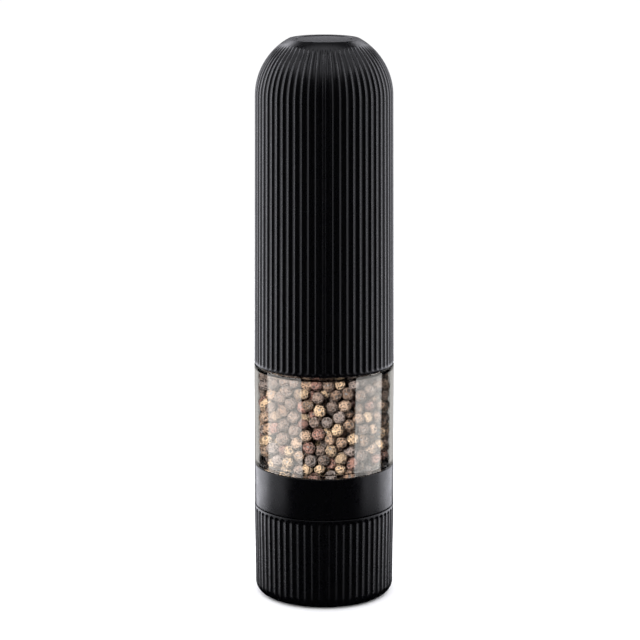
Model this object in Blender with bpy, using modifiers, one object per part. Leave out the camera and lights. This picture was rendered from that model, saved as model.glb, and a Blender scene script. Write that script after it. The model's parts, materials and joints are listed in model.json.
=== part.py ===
"""Battery pepper mill, worked by a push button on its top, as an assembly of separate pieces.

Sizes below are in millimetres and become metres as each mesh is made. +Z is up, and the origin is
the centre of the flat underside of the base cap. -Y is the mill's front.
"""

import math

import bmesh
import bpy
from mathutils import Matrix, Vector

MM = 0.001
COLLECTION_NAME = "pepper_mill"
CUTTER_COLLECTION_NAME = "pepper_mill_cutters"

# Fits
GAP = 0.3
SCREW_CLEARANCE = 0.25

# Turned pieces: columns around the axis, and the angle past which an edge stays sharp
ROUND_STEPS = 36
SMALL_STEPS = 16
SCREW_STEPS = 8
WIRE_SIDES = 2
SHARP_ANGLE = math.radians(35)
WELD_DISTANCE = 0.001

# Outer form: the widest radius, and the heights of the parts that show. The casing is as tall as
# what it holds, with BUTTON_SPACE between the switch and the top.
BODY_RADIUS = 27.54
BAND_BOTTOM = 36.4
BAND_HEIGHT = 16.3
WINDOW_HEIGHT = 40.2
BUTTON_SPACE = 12.2
EDGE_CHAMFER = 0.4

# Flutes on the casing and on the base cap
FLUTE_COUNT = 60
FLUTE_DEPTH = 0.6
FLUTE_RUNOUT = 1.0
PLAIN_RIM = 1.4

# Base cap
CAP_DRAFT = 0.34
CAP_FOOT_FILLET = 4.2
CAP_FILLET_ROWS = 3
CAP_WALL = 2.1
CAP_FLOOR = 2.4

# Grinder collar: the smooth band
BAND_STEP = 0.08
SPIGOT_LENGTH = 7.8
SPIGOT_WALL = 1.7
WEB_HEIGHT = 3.2
WEB_THICKNESS = 2.8
TUBE_SEAT_DEPTH = 6.3
TUBE_LEDGE = 1.2

# Chamber tube
TUBE_STEP = 0.14
TUBE_WALL = 1.1
TUBE_SPIGOT_STEP = 2.1
TUBE_SPIGOT_WALL = 1.4
TUBE_SPIGOT_LENGTH = 6.0

# Shaft bridge
BRIDGE_THICKNESS = 3.0
BRIDGE_HUB_WALL = 3.1
BRIDGE_RIM_WIDTH = 2.2
BRIDGE_ARM_WIDTH = 4.0
BRIDGE_ARMS = 3
ARC_STEPS = 6

# Drive shaft: square, with a round threaded foot
SHAFT_SIDE = 5.0
SHAFT_FOOT_RADIUS = 2.4
SHAFT_BOTTOM = 8.0
SHAFT_INTO_SOCKET = 5.5
SHAFT_CORNER_CLEARANCE = 0.36
SOCKET_CLEARANCE = 0.25

# Burrs
OUTER_BURR_WALL = 1.5
OUTER_BURR_MOUTH_RADIUS = 15.0
OUTER_BURR_HEIGHT = 12.3
INNER_BURR_HEIGHT = 11.6
INNER_BURR_TOP_WALL = 2.3
INNER_BURR_FOOT_RADIUS = 12.0
GRINDING_CLEARANCE = 0.9
INNER_BURR_SKIRT = 3.0
INNER_BURR_RISE = 0.3
BURR_TEETH = 12
BURR_TOOTH_DEPTH = 0.9
BURR_TWIST = math.radians(20)

# Burr housing
HOUSING_WALL = 2.4
HOUSING_FLANGE_THICKNESS = 2.7
HOUSING_LIP_STEP = 3.2
HOUSING_LIP_THICKNESS = 2.4
HOUSING_SCREWS = 3
HOUSING_SCREW_TURN = math.radians(30)

# Burr spring and the washer above it
SPRING_WASHER_WIDTH = 2.5
SPRING_WASHER_THICKNESS = 0.8
BURR_SPRING_CLEARANCE = 1.0
BURR_SPRING_WIRE = 0.45
BURR_SPRING_TURNS = 3

# Grind adjusting knob
KNOB_RADIUS = 9.0
KNOB_HEIGHT = 6.0
KNOB_NECK_WALL = 2.3
KNOB_BORE_CLEARANCE = 0.3
KNOB_RAISED = 1.0
KNOB_GRIPS = 12
KNOB_GRIP_DEPTH = 0.7

# Peppercorn filling
CORN_SHAFT_CLEARANCE = 1.6

# Motor deck, which plugs into the chamber tube
DECK_THICKNESS = 2.4
DECK_PLUG_LENGTH = 3.0
DECK_PLUG_WALL = 2.2
DECK_HOLE_CLEARANCE = 0.6

# Small screws, as head and shank
SCREW_HEAD_RADIUS = 1.6
SCREW_HEAD_HEIGHT = 1.1
SCREW_SHANK_RADIUS = 0.9

# Planetary gears
GEAR_MODULE = 0.6
SUN_TEETH = 12
PLANET_TEETH = 15
RING_TEETH = SUN_TEETH + 2 * PLANET_TEETH
PLANETS = 3
GEAR_HEIGHT = 4.0
TOOTH_TIP = 0.85
TOOTH_ROOT = 1.2
TOOTH_TIP_SHARE = 0.13
TOOTH_FOOT_SHARE = 0.27
RING_GEAR_RIM = 1.88
PLANET_PIN_RADIUS = 1.05
MOTOR_SHAFT_RADIUS = 1.0

# Planet carrier with its drive socket
CARRIER_THICKNESS = 1.5
CARRIER_RIM = 2.8
CARRIER_HUB_WALL = 1.7

# Gear housing and lid
GEAR_HOUSING_RIM = 1.7
GEAR_HOUSING_FLOOR = 1.6
GEAR_HEADROOM = 1.7
GEAR_LID_THICKNESS = 2.0
DECK_SCREWS = 2
DECK_SCREW_TURN = math.radians(90)
TIE_BOLT_CLEARANCE = 1.8
TIE_BOLT_DEPTH = 2.9
TIE_BOLTS = 2

# Motor
MOTOR_RADIUS = 12.0
MOTOR_LENGTH = 25.0
MOTOR_WALL = 1.0
MOTOR_SCREW_CIRCLE = 7.0
MOTOR_SCREWS = 2
MAGNET_THICKNESS = 1.6
MAGNET_LENGTH = 16.0
MAGNET_ARC = math.radians(336)
MAGNET_STEPS = 14
ARMATURE_CLEARANCE = 0.5
ARMATURE_LENGTH = 12.0
ARMATURE_RISE = 3.5
COMMUTATOR_RADIUS = 3.0
COMMUTATOR_LENGTH = 5.0
MOTOR_CAP_THICKNESS = 1.4
MOTOR_CAP_PLUG = 2.0
TERMINAL_OFFSET = 6.0
TERMINAL_WIDTH = 2.4
TERMINAL_THICKNESS = 0.6
TERMINAL_HEIGHT = 1.6
SLEEVE_WALL = 1.6
SLEEVE_HEADROOM = 3.2

# Battery tray and its cells, size AA
TRAY_RIM = 2.05
TRAY_PLATE_THICKNESS = 2.0
TRAY_POST_CLEARANCE = 0.65
CELL_RADIUS = 7.2
CELL_LENGTH = 50.5
CELL_CLEARANCE = 0.8
CELL_NUB_RADIUS = 2.7
CELL_NUB_HEIGHT = 1.5
CONTACT_THICKNESS = 0.4
CONTACT_REACH = 4.2
CELL_SPRING_HEIGHT = 1.9
CELL_SPRING_RADIUS = 3.2
CELL_SPRING_TAPER = 1.0
CELL_SPRING_WIRE = 0.3
CELL_SPRING_TURNS = 1.5

# Leads
LEAD_RADIUS = 0.6
LEAD_CLEARANCE = 0.8
LEAD_HOLE_CLEARANCE = 0.4
LEAD_SWITCH_HEIGHT = 2.2
LEAD_BEND_STEPS = 2
LEAD_BEND_RADIUS = 1.6

# Switch under the button
SWITCH_SIDE = 12.0
SWITCH_HEIGHT = 5.0
SWITCH_FLOOR = 1.2
PLUNGER_RADIUS = 2.5
PLUNGER_FLANGE = 0.5

# Casing
CASING_STEP = 0.17
CASING_DRAFT = 0.77
CASING_WALL = 2.1
DOME_RADIUS = 25.0
DOME_RISE = 22.0
DOME_FLUTE_FULL = math.radians(30)
DOME_FLUTE_END = math.radians(42)
DOME_ANGLES = (0, 15, 30, 42, 52)
DOME_BORE_ROWS = 4

# Push button
BUTTON_RADIUS = 10.4
BUTTON_RECESS = 0.2
BUTTON_EDGE = 0.3
BUTTON_FLANGE_WIDTH = 1.6
BUTTON_FLANGE_THICKNESS = 1.8
BUTTON_TRAVEL = 2.0
BUTTON_STEM_RADIUS = 3.0
BUTTON_STEM_LENGTH = 4.9
BUTTON_SPRING_CLEARANCE = 3.5
BUTTON_SPRING_WIRE = 0.4
BUTTON_SPRING_TURNS = 3
GUIDE_WALL = 2.0
GUIDE_FLOOR = 1.3
GUIDE_DEPTH = 4.9
COIL_POINTS_PER_TURN = 8

# Radii that follow from the sizes above, from the outside in
CAP_RIM_RADIUS = BODY_RADIUS
CAP_FOOT_RADIUS = BODY_RADIUS - CAP_DRAFT
BAND_RADIUS = BODY_RADIUS - BAND_STEP
TUBE_RADIUS = BODY_RADIUS - TUBE_STEP
CASING_RIM_RADIUS = BODY_RADIUS - CASING_STEP
CASING_SHOULDER_RADIUS = CASING_RIM_RADIUS - CASING_DRAFT
DOME_CENTRE_RADIUS = CASING_SHOULDER_RADIUS - DOME_RADIUS
CAP_BORE_RADIUS = CAP_RIM_RADIUS - CAP_WALL
SPIGOT_RADIUS = CAP_BORE_RADIUS - GAP
SPIGOT_BORE_RADIUS = SPIGOT_RADIUS - SPIGOT_WALL
TUBE_SPIGOT_RADIUS = TUBE_RADIUS - TUBE_SPIGOT_STEP
TUBE_BORE_RADIUS = TUBE_SPIGOT_RADIUS - TUBE_SPIGOT_WALL
TUBE_WINDOW_BORE_RADIUS = TUBE_RADIUS - TUBE_WALL
TUBE_SEAT_RADIUS = TUBE_SPIGOT_RADIUS + GAP
HOPPER_RADIUS = TUBE_SEAT_RADIUS - TUBE_LEDGE
BRIDGE_RADIUS = HOPPER_RADIUS - GAP
CORN_RADIUS = TUBE_BORE_RADIUS - GAP
CORN_WINDOW_RADIUS = TUBE_WINDOW_BORE_RADIUS - GAP
CASING_BORE_RIM_RADIUS = TUBE_SPIGOT_RADIUS + GAP
DECK_RADIUS = CASING_BORE_RIM_RADIUS - EDGE_CHAMFER
DECK_PLUG_RADIUS = TUBE_BORE_RADIUS - GAP

# Radii round the shaft
SHAFT_BORE_RADIUS = SHAFT_SIDE / math.sqrt(2) + SHAFT_CORNER_CLEARANCE
SOCKET_SIDE = SHAFT_SIDE + 2 * SOCKET_CLEARANCE
SOCKET_CORNER_RADIUS = SOCKET_SIDE / math.sqrt(2)
BRIDGE_HUB_RADIUS = SHAFT_BORE_RADIUS + BRIDGE_HUB_WALL
SPRING_WASHER_RADIUS = SHAFT_BORE_RADIUS + SPRING_WASHER_WIDTH
BURR_SPRING_RADIUS = SHAFT_BORE_RADIUS + BURR_SPRING_CLEARANCE
CORN_SHAFT_RADIUS = SHAFT_BORE_RADIUS + CORN_SHAFT_CLEARANCE
CARRIER_HUB_RADIUS = SOCKET_CORNER_RADIUS + CARRIER_HUB_WALL
DECK_HOLE_RADIUS = CARRIER_HUB_RADIUS + DECK_HOLE_CLEARANCE

# Radii of the burrs and their housing
OUTER_BURR_RADIUS = OUTER_BURR_MOUTH_RADIUS + OUTER_BURR_WALL
OUTER_BURR_THROAT_RADIUS = INNER_BURR_FOOT_RADIUS + GRINDING_CLEARANCE
INNER_BURR_TOP_RADIUS = SOCKET_CORNER_RADIUS + INNER_BURR_TOP_WALL
FEED_HOLE_RADIUS = OUTER_BURR_MOUTH_RADIUS + GAP
HOUSING_BORE_RADIUS = OUTER_BURR_RADIUS + GAP
HOUSING_BODY_RADIUS = HOUSING_BORE_RADIUS + HOUSING_WALL
HOUSING_LIP_RADIUS = HOUSING_BORE_RADIUS - HOUSING_LIP_STEP
HOUSING_FLANGE_RADIUS = SPIGOT_BORE_RADIUS - 2 * GAP
HOUSING_SCREW_CIRCLE = (HOUSING_BODY_RADIUS + HOUSING_FLANGE_RADIUS) / 2
KNOB_BORE_RADIUS = SHAFT_FOOT_RADIUS + KNOB_BORE_CLEARANCE
KNOB_NECK_RADIUS = KNOB_BORE_RADIUS + KNOB_NECK_WALL

# Radii of the gearbox and the motor
PLANET_CIRCLE = GEAR_MODULE * (SUN_TEETH + PLANET_TEETH) / 2
CARRIER_RADIUS = PLANET_CIRCLE + CARRIER_RIM
RING_GEAR_RADIUS = GEAR_MODULE * (RING_TEETH / 2 + TOOTH_ROOT) + RING_GEAR_RIM
GEAR_HOUSING_BORE_RADIUS = RING_GEAR_RADIUS + GAP
MOTOR_BORE_RADIUS = MOTOR_RADIUS - MOTOR_WALL
MAGNET_RADIUS = MOTOR_BORE_RADIUS - GAP
ARMATURE_RADIUS = MAGNET_RADIUS - MAGNET_THICKNESS - ARMATURE_CLEARANCE
SLEEVE_BORE_RADIUS = MOTOR_RADIUS + GAP
SLEEVE_RADIUS = SLEEVE_BORE_RADIUS + SLEEVE_WALL
TIE_BOLT_CIRCLE = max(SLEEVE_RADIUS + SCREW_HEAD_RADIUS, GEAR_HOUSING_BORE_RADIUS) + TIE_BOLT_CLEARANCE
GEAR_HOUSING_RADIUS = TIE_BOLT_CIRCLE + GEAR_HOUSING_RIM

# Plan of the battery tray
CELL_SPACING = 2 * CELL_RADIUS + CELL_CLEARANCE
CELL_CIRCLE = CELL_SPACING / math.sqrt(2)
TRAY_POST_RADIUS = CELL_CIRCLE - CELL_RADIUS - TRAY_POST_CLEARANCE
TRAY_PLATE_RADIUS = max(CELL_CIRCLE + CELL_RADIUS, TIE_BOLT_CIRCLE + SCREW_SHANK_RADIUS) + TRAY_RIM
LEAD_TO_CELL = CELL_RADIUS + LEAD_RADIUS + LEAD_CLEARANCE
LEAD_NOTCH_RADIUS = CELL_SPACING / 2 + math.sqrt(LEAD_TO_CELL**2 - (CELL_SPACING / 2) ** 2)
LEAD_RUN_RADIUS = min(LEAD_NOTCH_RADIUS, SLEEVE_BORE_RADIUS - LEAD_RADIUS - GAP)
LEAD_HOLE_RADIUS = LEAD_RADIUS + LEAD_HOLE_CLEARANCE
CONTACT_WIDTH = 2 * (LEAD_RUN_RADIUS - LEAD_RADIUS - GAP - CELL_SPACING / 2)

# Radii of the button
BUTTON_HOLE_RADIUS = BUTTON_RADIUS + GAP
BUTTON_FLANGE_RADIUS = BUTTON_RADIUS + BUTTON_FLANGE_WIDTH
BUTTON_SPRING_RADIUS = BUTTON_STEM_RADIUS + BUTTON_SPRING_CLEARANCE
GUIDE_BORE_RADIUS = BUTTON_FLANGE_RADIUS + GAP
GUIDE_RADIUS = GUIDE_BORE_RADIUS + GUIDE_WALL

# Heights of the cap, the collar and the tube
CAP_TOP = BAND_BOTTOM - GAP
BAND_TOP = BAND_BOTTOM + BAND_HEIGHT
CASING_BOTTOM = BAND_TOP + WINDOW_HEIGHT
SPIGOT_BOTTOM = BAND_BOTTOM - SPIGOT_LENGTH
WEB_BOTTOM = BAND_BOTTOM + WEB_HEIGHT
WEB_TOP = WEB_BOTTOM + WEB_THICKNESS
TUBE_SHOULDER_LOW = BAND_TOP + GAP
TUBE_SHOULDER_HIGH = CASING_BOTTOM - GAP
TUBE_LEDGE_HEIGHT = BAND_TOP - TUBE_SEAT_DEPTH
TUBE_BOTTOM = TUBE_LEDGE_HEIGHT + GAP
TUBE_TOP = TUBE_SHOULDER_HIGH + TUBE_SPIGOT_LENGTH
WINDOW_BORE_LOW = TUBE_SHOULDER_LOW + TUBE_WALL
WINDOW_BORE_HIGH = TUBE_SHOULDER_HIGH - TUBE_WALL

# Heights of the grinder, from the web down, then the bridge over it
HOUSING_TOP = WEB_BOTTOM - GAP
HOUSING_FLANGE_BOTTOM = HOUSING_TOP - HOUSING_FLANGE_THICKNESS
OUTER_BURR_TOP = HOUSING_TOP
OUTER_BURR_BOTTOM = OUTER_BURR_TOP - OUTER_BURR_HEIGHT
HOUSING_LIP_TOP = OUTER_BURR_BOTTOM - GAP
HOUSING_BOTTOM = HOUSING_LIP_TOP - HOUSING_LIP_THICKNESS
INNER_BURR_BOTTOM = HOUSING_BOTTOM + INNER_BURR_RISE
INNER_BURR_TOP = INNER_BURR_BOTTOM + INNER_BURR_HEIGHT
KNOB_BOTTOM = SHAFT_BOTTOM + KNOB_RAISED
KNOB_NECK_TOP = INNER_BURR_BOTTOM - GAP
BRIDGE_BOTTOM = WEB_TOP + GAP
BRIDGE_TOP = BRIDGE_BOTTOM + BRIDGE_THICKNESS
SPRING_WASHER_TOP = BRIDGE_BOTTOM - GAP
SPRING_WASHER_BOTTOM = SPRING_WASHER_TOP - SPRING_WASHER_THICKNESS

# Heights of the power unit, from the tube's top up
DECK_BOTTOM = TUBE_TOP + GAP
DECK_TOP = DECK_BOTTOM + DECK_THICKNESS
DECK_PLUG_BOTTOM = DECK_BOTTOM - DECK_PLUG_LENGTH
CORN_BOTTOM = max(BRIDGE_TOP + GAP, TUBE_BOTTOM)
CORN_TOP = DECK_PLUG_BOTTOM - GAP
GEAR_HOUSING_BOTTOM = DECK_TOP + GAP
CARRIER_BOTTOM = GEAR_HOUSING_BOTTOM + GEAR_HOUSING_FLOOR + GAP
CARRIER_TOP = CARRIER_BOTTOM + CARRIER_THICKNESS
GEAR_BOTTOM = CARRIER_TOP + GAP
GEAR_TOP = GEAR_BOTTOM + GEAR_HEIGHT
GEAR_HOUSING_TOP = GEAR_TOP + GEAR_HEADROOM
GEAR_LID_BOTTOM = GEAR_HOUSING_TOP + GAP
GEAR_LID_TOP = GEAR_LID_BOTTOM + GEAR_LID_THICKNESS
CARRIER_HUB_BOTTOM = DECK_PLUG_BOTTOM
SHAFT_TOP = CARRIER_HUB_BOTTOM + SHAFT_INTO_SOCKET
SOCKET_TOP = SHAFT_TOP + GAP
TIE_BOLT_TIP = GEAR_HOUSING_TOP - TIE_BOLT_DEPTH
MOTOR_BOTTOM = GEAR_LID_TOP + GAP
MOTOR_TOP = MOTOR_BOTTOM + MOTOR_LENGTH
MOTOR_CAP_BOTTOM = MOTOR_TOP + GAP
MOTOR_CAP_TOP = MOTOR_CAP_BOTTOM + MOTOR_CAP_THICKNESS
ARMATURE_BOTTOM = MOTOR_BOTTOM + ARMATURE_RISE
SLEEVE_TOP = MOTOR_CAP_TOP + SLEEVE_HEADROOM
TRAY_BOTTOM = SLEEVE_TOP + GAP
TRAY_FLOOR_TOP = TRAY_BOTTOM + TRAY_PLATE_THICKNESS
LOW_CONTACT = TRAY_FLOOR_TOP + GAP
LOW_CONTACT_TOP = LOW_CONTACT + CONTACT_THICKNESS
CELL_SPRING_SPACE = CELL_SPRING_HEIGHT + 2 * GAP
HIGH_CONTACT = LOW_CONTACT_TOP + CELL_SPRING_SPACE + CELL_LENGTH + GAP
HIGH_CONTACT_TOP = HIGH_CONTACT + CONTACT_THICKNESS
TRAY_CEILING = HIGH_CONTACT_TOP + GAP
TRAY_TOP = TRAY_CEILING + TRAY_PLATE_THICKNESS
SWITCH_BOTTOM = TRAY_TOP + GAP
SWITCH_TOP = SWITCH_BOTTOM + SWITCH_HEIGHT

# Heights of the casing's top and the button
TOTAL_HEIGHT = SWITCH_TOP + BUTTON_SPACE
DOME_CENTRE_HEIGHT = TOTAL_HEIGHT - DOME_RISE
BUTTON_TOP = TOTAL_HEIGHT - BUTTON_RECESS
BUTTON_FLANGE_TOP = TOTAL_HEIGHT - CASING_WALL - GAP
BUTTON_FLANGE_BOTTOM = BUTTON_FLANGE_TOP - BUTTON_FLANGE_THICKNESS
BUTTON_STEM_BOTTOM = BUTTON_FLANGE_BOTTOM - BUTTON_STEM_LENGTH
PLUNGER_TOP = BUTTON_STEM_BOTTOM - GAP
GUIDE_UNDER_DOME = math.sqrt((DOME_RADIUS - CASING_WALL) ** 2 - (GUIDE_RADIUS - DOME_CENTRE_RADIUS) ** 2)
GUIDE_TOP = min(DOME_CENTRE_HEIGHT + GUIDE_UNDER_DOME, TOTAL_HEIGHT - CASING_WALL) - 2 * GAP
GUIDE_FLOOR_TOP = BUTTON_FLANGE_BOTTOM - GUIDE_DEPTH
GUIDE_BOTTOM = GUIDE_FLOOR_TOP - GUIDE_FLOOR


def clear_scene():
    for obj in list(bpy.data.objects):
        bpy.data.objects.remove(obj, do_unlink=True)


def make_collection(name, hidden=False):
    collection = bpy.data.collections.new(name)
    collection.hide_render = hidden
    bpy.context.scene.collection.children.link(collection)
    return collection


def make_material(name, colour, roughness, metallic=0.0, transmission=0.0):
    material = bpy.data.materials.new(name)
    material.use_nodes = True
    shader = material.node_tree.nodes["Principled BSDF"]
    shader.inputs["Base Color"].default_value = (*colour, 1.0)
    shader.inputs["Roughness"].default_value = roughness
    shader.inputs["Metallic"].default_value = metallic
    shader.inputs["Transmission Weight"].default_value = transmission
    return material


def make_frame(name, parent=None, position=(0.0, 0.0, 0.0)):
    """An empty on a joint's axis, at a place in the mill's own frame."""
    frame = bpy.data.objects.new(name, None)
    PARTS.objects.link(frame)
    attach(frame, parent, position)
    return frame


def attach(obj, parent, position):
    """Parents an object and sets it at a place, in millimetres, in the mill's own frame."""
    place = Vector(position) * MM
    obj["place"] = list(place)
    if parent is not None:
        obj.parent = parent
        place = place - Vector(parent["place"])
    obj.location = place


def add_piece(name, data, material, frame, position=(0.0, 0.0, 0.0), turn=0.0):
    piece = bpy.data.objects.new(name, data)
    PARTS.objects.link(piece)
    piece.rotation_euler.z = turn
    if not data.materials:
        data.materials.append(material)
    attach(piece, frame, position)
    return piece


def add_cutter(name, data, position=(0.0, 0.0, 0.0), turn=0.0):
    cutter = bpy.data.objects.new(name, data)
    CUTTERS.objects.link(cutter)
    cutter.hide_render = True
    cutter.display_type = "WIRE"
    cutter.rotation_euler.z = turn
    cutter.location = Vector(position) * MM
    return cutter


def combine(piece, other, operation="DIFFERENCE"):
    modifier = piece.modifiers.new(f"{operation.lower()}_{other.name}", "BOOLEAN")
    modifier.operation = operation
    modifier.solver = "EXACT"
    modifier.object = other


def evaluated_mesh(obj, name):
    """The mesh that an object's modifiers or its curve give, welded and shaded smooth."""
    bpy.context.view_layer.update()
    graph = bpy.context.evaluated_depsgraph_get()
    mesh = bpy.data.meshes.new_from_object(obj.evaluated_get(graph))
    mesh.name = name
    shape = bmesh.new()
    shape.from_mesh(mesh)
    bmesh.ops.remove_doubles(shape, verts=shape.verts, dist=WELD_DISTANCE * MM)
    shape.to_mesh(mesh)
    shape.free()
    mesh.shade_smooth()
    mesh.set_sharp_from_angle(angle=SHARP_ANGLE)
    return mesh


def baked(name, data, modifier_settings=None):
    """Evaluates a data block, with one Screw modifier if settings are given, and removes the helper."""
    helper = bpy.data.objects.new(name + "_helper", data)
    CUTTERS.objects.link(helper)
    if modifier_settings:
        screw = helper.modifiers.new("turn", "SCREW")
        for key, value in modifier_settings.items():
            setattr(screw, key, value)
    mesh = evaluated_mesh(helper, name)
    bpy.data.objects.remove(helper, do_unlink=True)
    return mesh


def turned_mesh(name, profile, closed, steps=ROUND_STEPS):
    """Turns (radius, height) points round Z. The points run down the outer side, top to bottom.

    A closed profile is a ring's section. An open one starts and ends on the axis.
    """
    outline = bpy.data.meshes.new(name + "_profile")
    points = [(radius * MM, 0.0, height * MM) for radius, height in profile]
    edges = [(i, i + 1) for i in range(len(points) - 1)]
    if closed:
        edges.append((len(points) - 1, 0))
    outline.from_pydata(points, edges, [])
    settings = {
        "steps": steps,
        "render_steps": steps,
        "use_merge_vertices": True,
        "merge_threshold": WELD_DISTANCE * MM,
        "use_normal_calculate": False,
    }
    return baked(name, outline, settings)


def box_mesh(name, size, centre):
    """A box of a size, about a centre, in millimetres."""
    mesh = bpy.data.meshes.new(name)
    shape = bmesh.new()
    bmesh.ops.create_cube(shape, size=1.0)
    stretch = Matrix.Diagonal((*(Vector(size) * MM), 1.0))
    bmesh.ops.transform(shape, matrix=Matrix.Translation(Vector(centre) * MM) @ stretch, verts=shape.verts)
    shape.to_mesh(mesh)
    shape.free()
    return mesh


def rod_mesh(name, radius, low, high, steps=SMALL_STEPS):
    return turned_mesh(name, [(0.0, high), (radius, high), (radius, low), (0.0, low)], False, steps)


def plate_mesh(name, outlines, low, high):
    """A flat outline, with holes in it, as thick as from low to high. Points are (x, y)."""
    curve = bpy.data.curves.new(name + "_outline", "CURVE")
    curve.dimensions = "2D"
    curve.fill_mode = "BOTH"
    curve.extrude = (high - low) / 2 * MM
    for outline in outlines:
        spline = curve.splines.new("POLY")
        spline.points.add(len(outline) - 1)
        for point, (x, y) in zip(spline.points, outline):
            point.co = (x * MM, y * MM, 0.0, 1.0)
        spline.use_cyclic_u = True
    mesh = baked(name, curve)
    mesh.transform(Matrix.Translation((0.0, 0.0, (low + high) / 2 * MM)))
    return mesh


def wire_mesh(name, points, radius):
    """A round wire with closed ends through points in millimetres."""
    curve = bpy.data.curves.new(name + "_path", "CURVE")
    curve.dimensions = "3D"
    curve.bevel_depth = radius * MM
    curve.bevel_resolution = WIRE_SIDES
    curve.use_fill_caps = True
    spline = curve.splines.new("POLY")
    spline.points.add(len(points) - 1)
    for point, place in zip(spline.points, points):
        point.co = (*(Vector(place) * MM), 1.0)
    return baked(name, curve)


def circle(radius, steps=ROUND_STEPS, centre=(0.0, 0.0)):
    """Points round a circle, as (x, y)."""
    angles = [2 * math.pi * i / steps for i in range(steps)]
    return [(centre[0] + radius * math.cos(a), centre[1] + radius * math.sin(a)) for a in angles]


def arc(radius, start, end, steps=ARC_STEPS):
    angles = [start + (end - start) * i / steps for i in range(steps + 1)]
    return [(radius * math.cos(a), radius * math.sin(a)) for a in angles]


def on_circle(radius, count, turn=0.0):
    """Places spread evenly round a circle, as (x, y)."""
    angles = [turn + 2 * math.pi * i / count for i in range(count)]
    return [(radius * math.cos(a), radius * math.sin(a)) for a in angles]


def coil_points(low, high, foot_radius, top_radius, wire, turns):
    """A coil whose wire lies between low and high, its radius going evenly from foot to top."""
    count = int(turns * COIL_POINTS_PER_TURN)
    points = []
    for i in range(count + 1):
        share = i / count
        angle = 2 * math.pi * turns * share
        radius = foot_radius + (top_radius - foot_radius) * share
        height = low + wire + (high - low - 2 * wire) * share
        points.append((radius * math.cos(angle), radius * math.sin(angle), height))
    return points


def groove(mesh, count, phase, depth_at, twist_at=None):
    """Moves every second column of a turned mesh towards the axis, by depth_at(radius, height).

    The mesh has two columns to each groove. phase 0 keeps a ridge on +X and 1 puts a groove there.
    """
    column_angle = math.pi / count
    for vertex in mesh.vertices:
        radius = math.hypot(vertex.co.x, vertex.co.y) / MM
        height = vertex.co.z / MM
        angle = math.atan2(vertex.co.y, vertex.co.x)
        column = round(angle / column_angle)
        if radius < GAP:
            continue
        if (column + phase) % 2:
            radius -= depth_at(radius, height)
        if twist_at:
            angle += twist_at(radius, height)
        vertex.co.x = radius * math.cos(angle) * MM
        vertex.co.y = radius * math.sin(angle) * MM


def screw_piece(name, material, frame, place, head_low, tip, pointing):
    """A screw as a turned head and shank. pointing is 1 with the tip above the head, -1 below."""
    length = abs(tip - head_low)
    profile = [
        (0.0, length),
        (SCREW_SHANK_RADIUS, length),
        (SCREW_SHANK_RADIUS, SCREW_HEAD_HEIGHT),
        (SCREW_HEAD_RADIUS, SCREW_HEAD_HEIGHT),
        (SCREW_HEAD_RADIUS, 0.0),
        (0.0, 0.0),
    ]
    mesh = turned_mesh(name, profile, False, SCREW_STEPS)
    if pointing < 0:
        mesh.transform(Matrix.Rotation(math.pi, 4, "X"))
    return add_piece(name, mesh, material, frame, (*place, head_low))


def screw_hole(piece, name, place, low, high):
    """Cuts a clearance hole for a small screw's shank."""
    drill(piece, name, SCREW_SHANK_RADIUS + SCREW_CLEARANCE, place, low, high)


def drill(piece, name, radius, place, low, high):
    """Cuts a small round hole, turned by part of a column so that no corner falls on a seam."""
    rod = rod_mesh(name, radius, low, high, SCREW_STEPS)
    combine(piece, add_cutter(name, rod, (*place, 0.0), math.pi / SCREW_STEPS / 2))


def dome_point(offset, angle):
    """A point of the dome, moved inwards by an offset, at an angle above its shoulder."""
    radius = DOME_CENTRE_RADIUS + (DOME_RADIUS - offset) * math.cos(angle)
    return radius, DOME_CENTRE_HEIGHT + (DOME_RADIUS - offset) * math.sin(angle)


def build_base_cap(frame):
    """The ribbed cup that the mill stands in. Its flutes start under the rim and fade at the foot."""
    flute_top = CAP_TOP - EDGE_CHAMFER
    profile = [(0.0, CAP_TOP), (CAP_RIM_RADIUS - EDGE_CHAMFER, CAP_TOP), (CAP_RIM_RADIUS, flute_top)]
    profile.append((CAP_RIM_RADIUS, flute_top - FLUTE_RUNOUT))
    for row in range(CAP_FILLET_ROWS + 1):
        angle = math.pi / 2 * row / CAP_FILLET_ROWS
        radius = CAP_FOOT_RADIUS - CAP_FOOT_FILLET * (1 - math.cos(angle))
        profile.append((radius, CAP_FOOT_FILLET * (1 - math.sin(angle))))
    profile.append((0.0, 0.0))
    mesh = turned_mesh("base_cap", profile, False, 2 * FLUTE_COUNT)

    def depth(radius, height):
        if height > flute_top - WELD_DISTANCE:
            return 0.0
        return FLUTE_DEPTH * min(1.0, height / CAP_FOOT_FILLET)

    groove(mesh, FLUTE_COUNT, 1, depth)
    cap = add_piece("base_cap", mesh, BLACK_PLASTIC, frame)
    bore = rod_mesh("cap_bore", CAP_BORE_RADIUS, CAP_FLOOR, CAP_TOP + GAP, ROUND_STEPS)
    combine(cap, add_cutter("cap_bore", bore))


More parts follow.
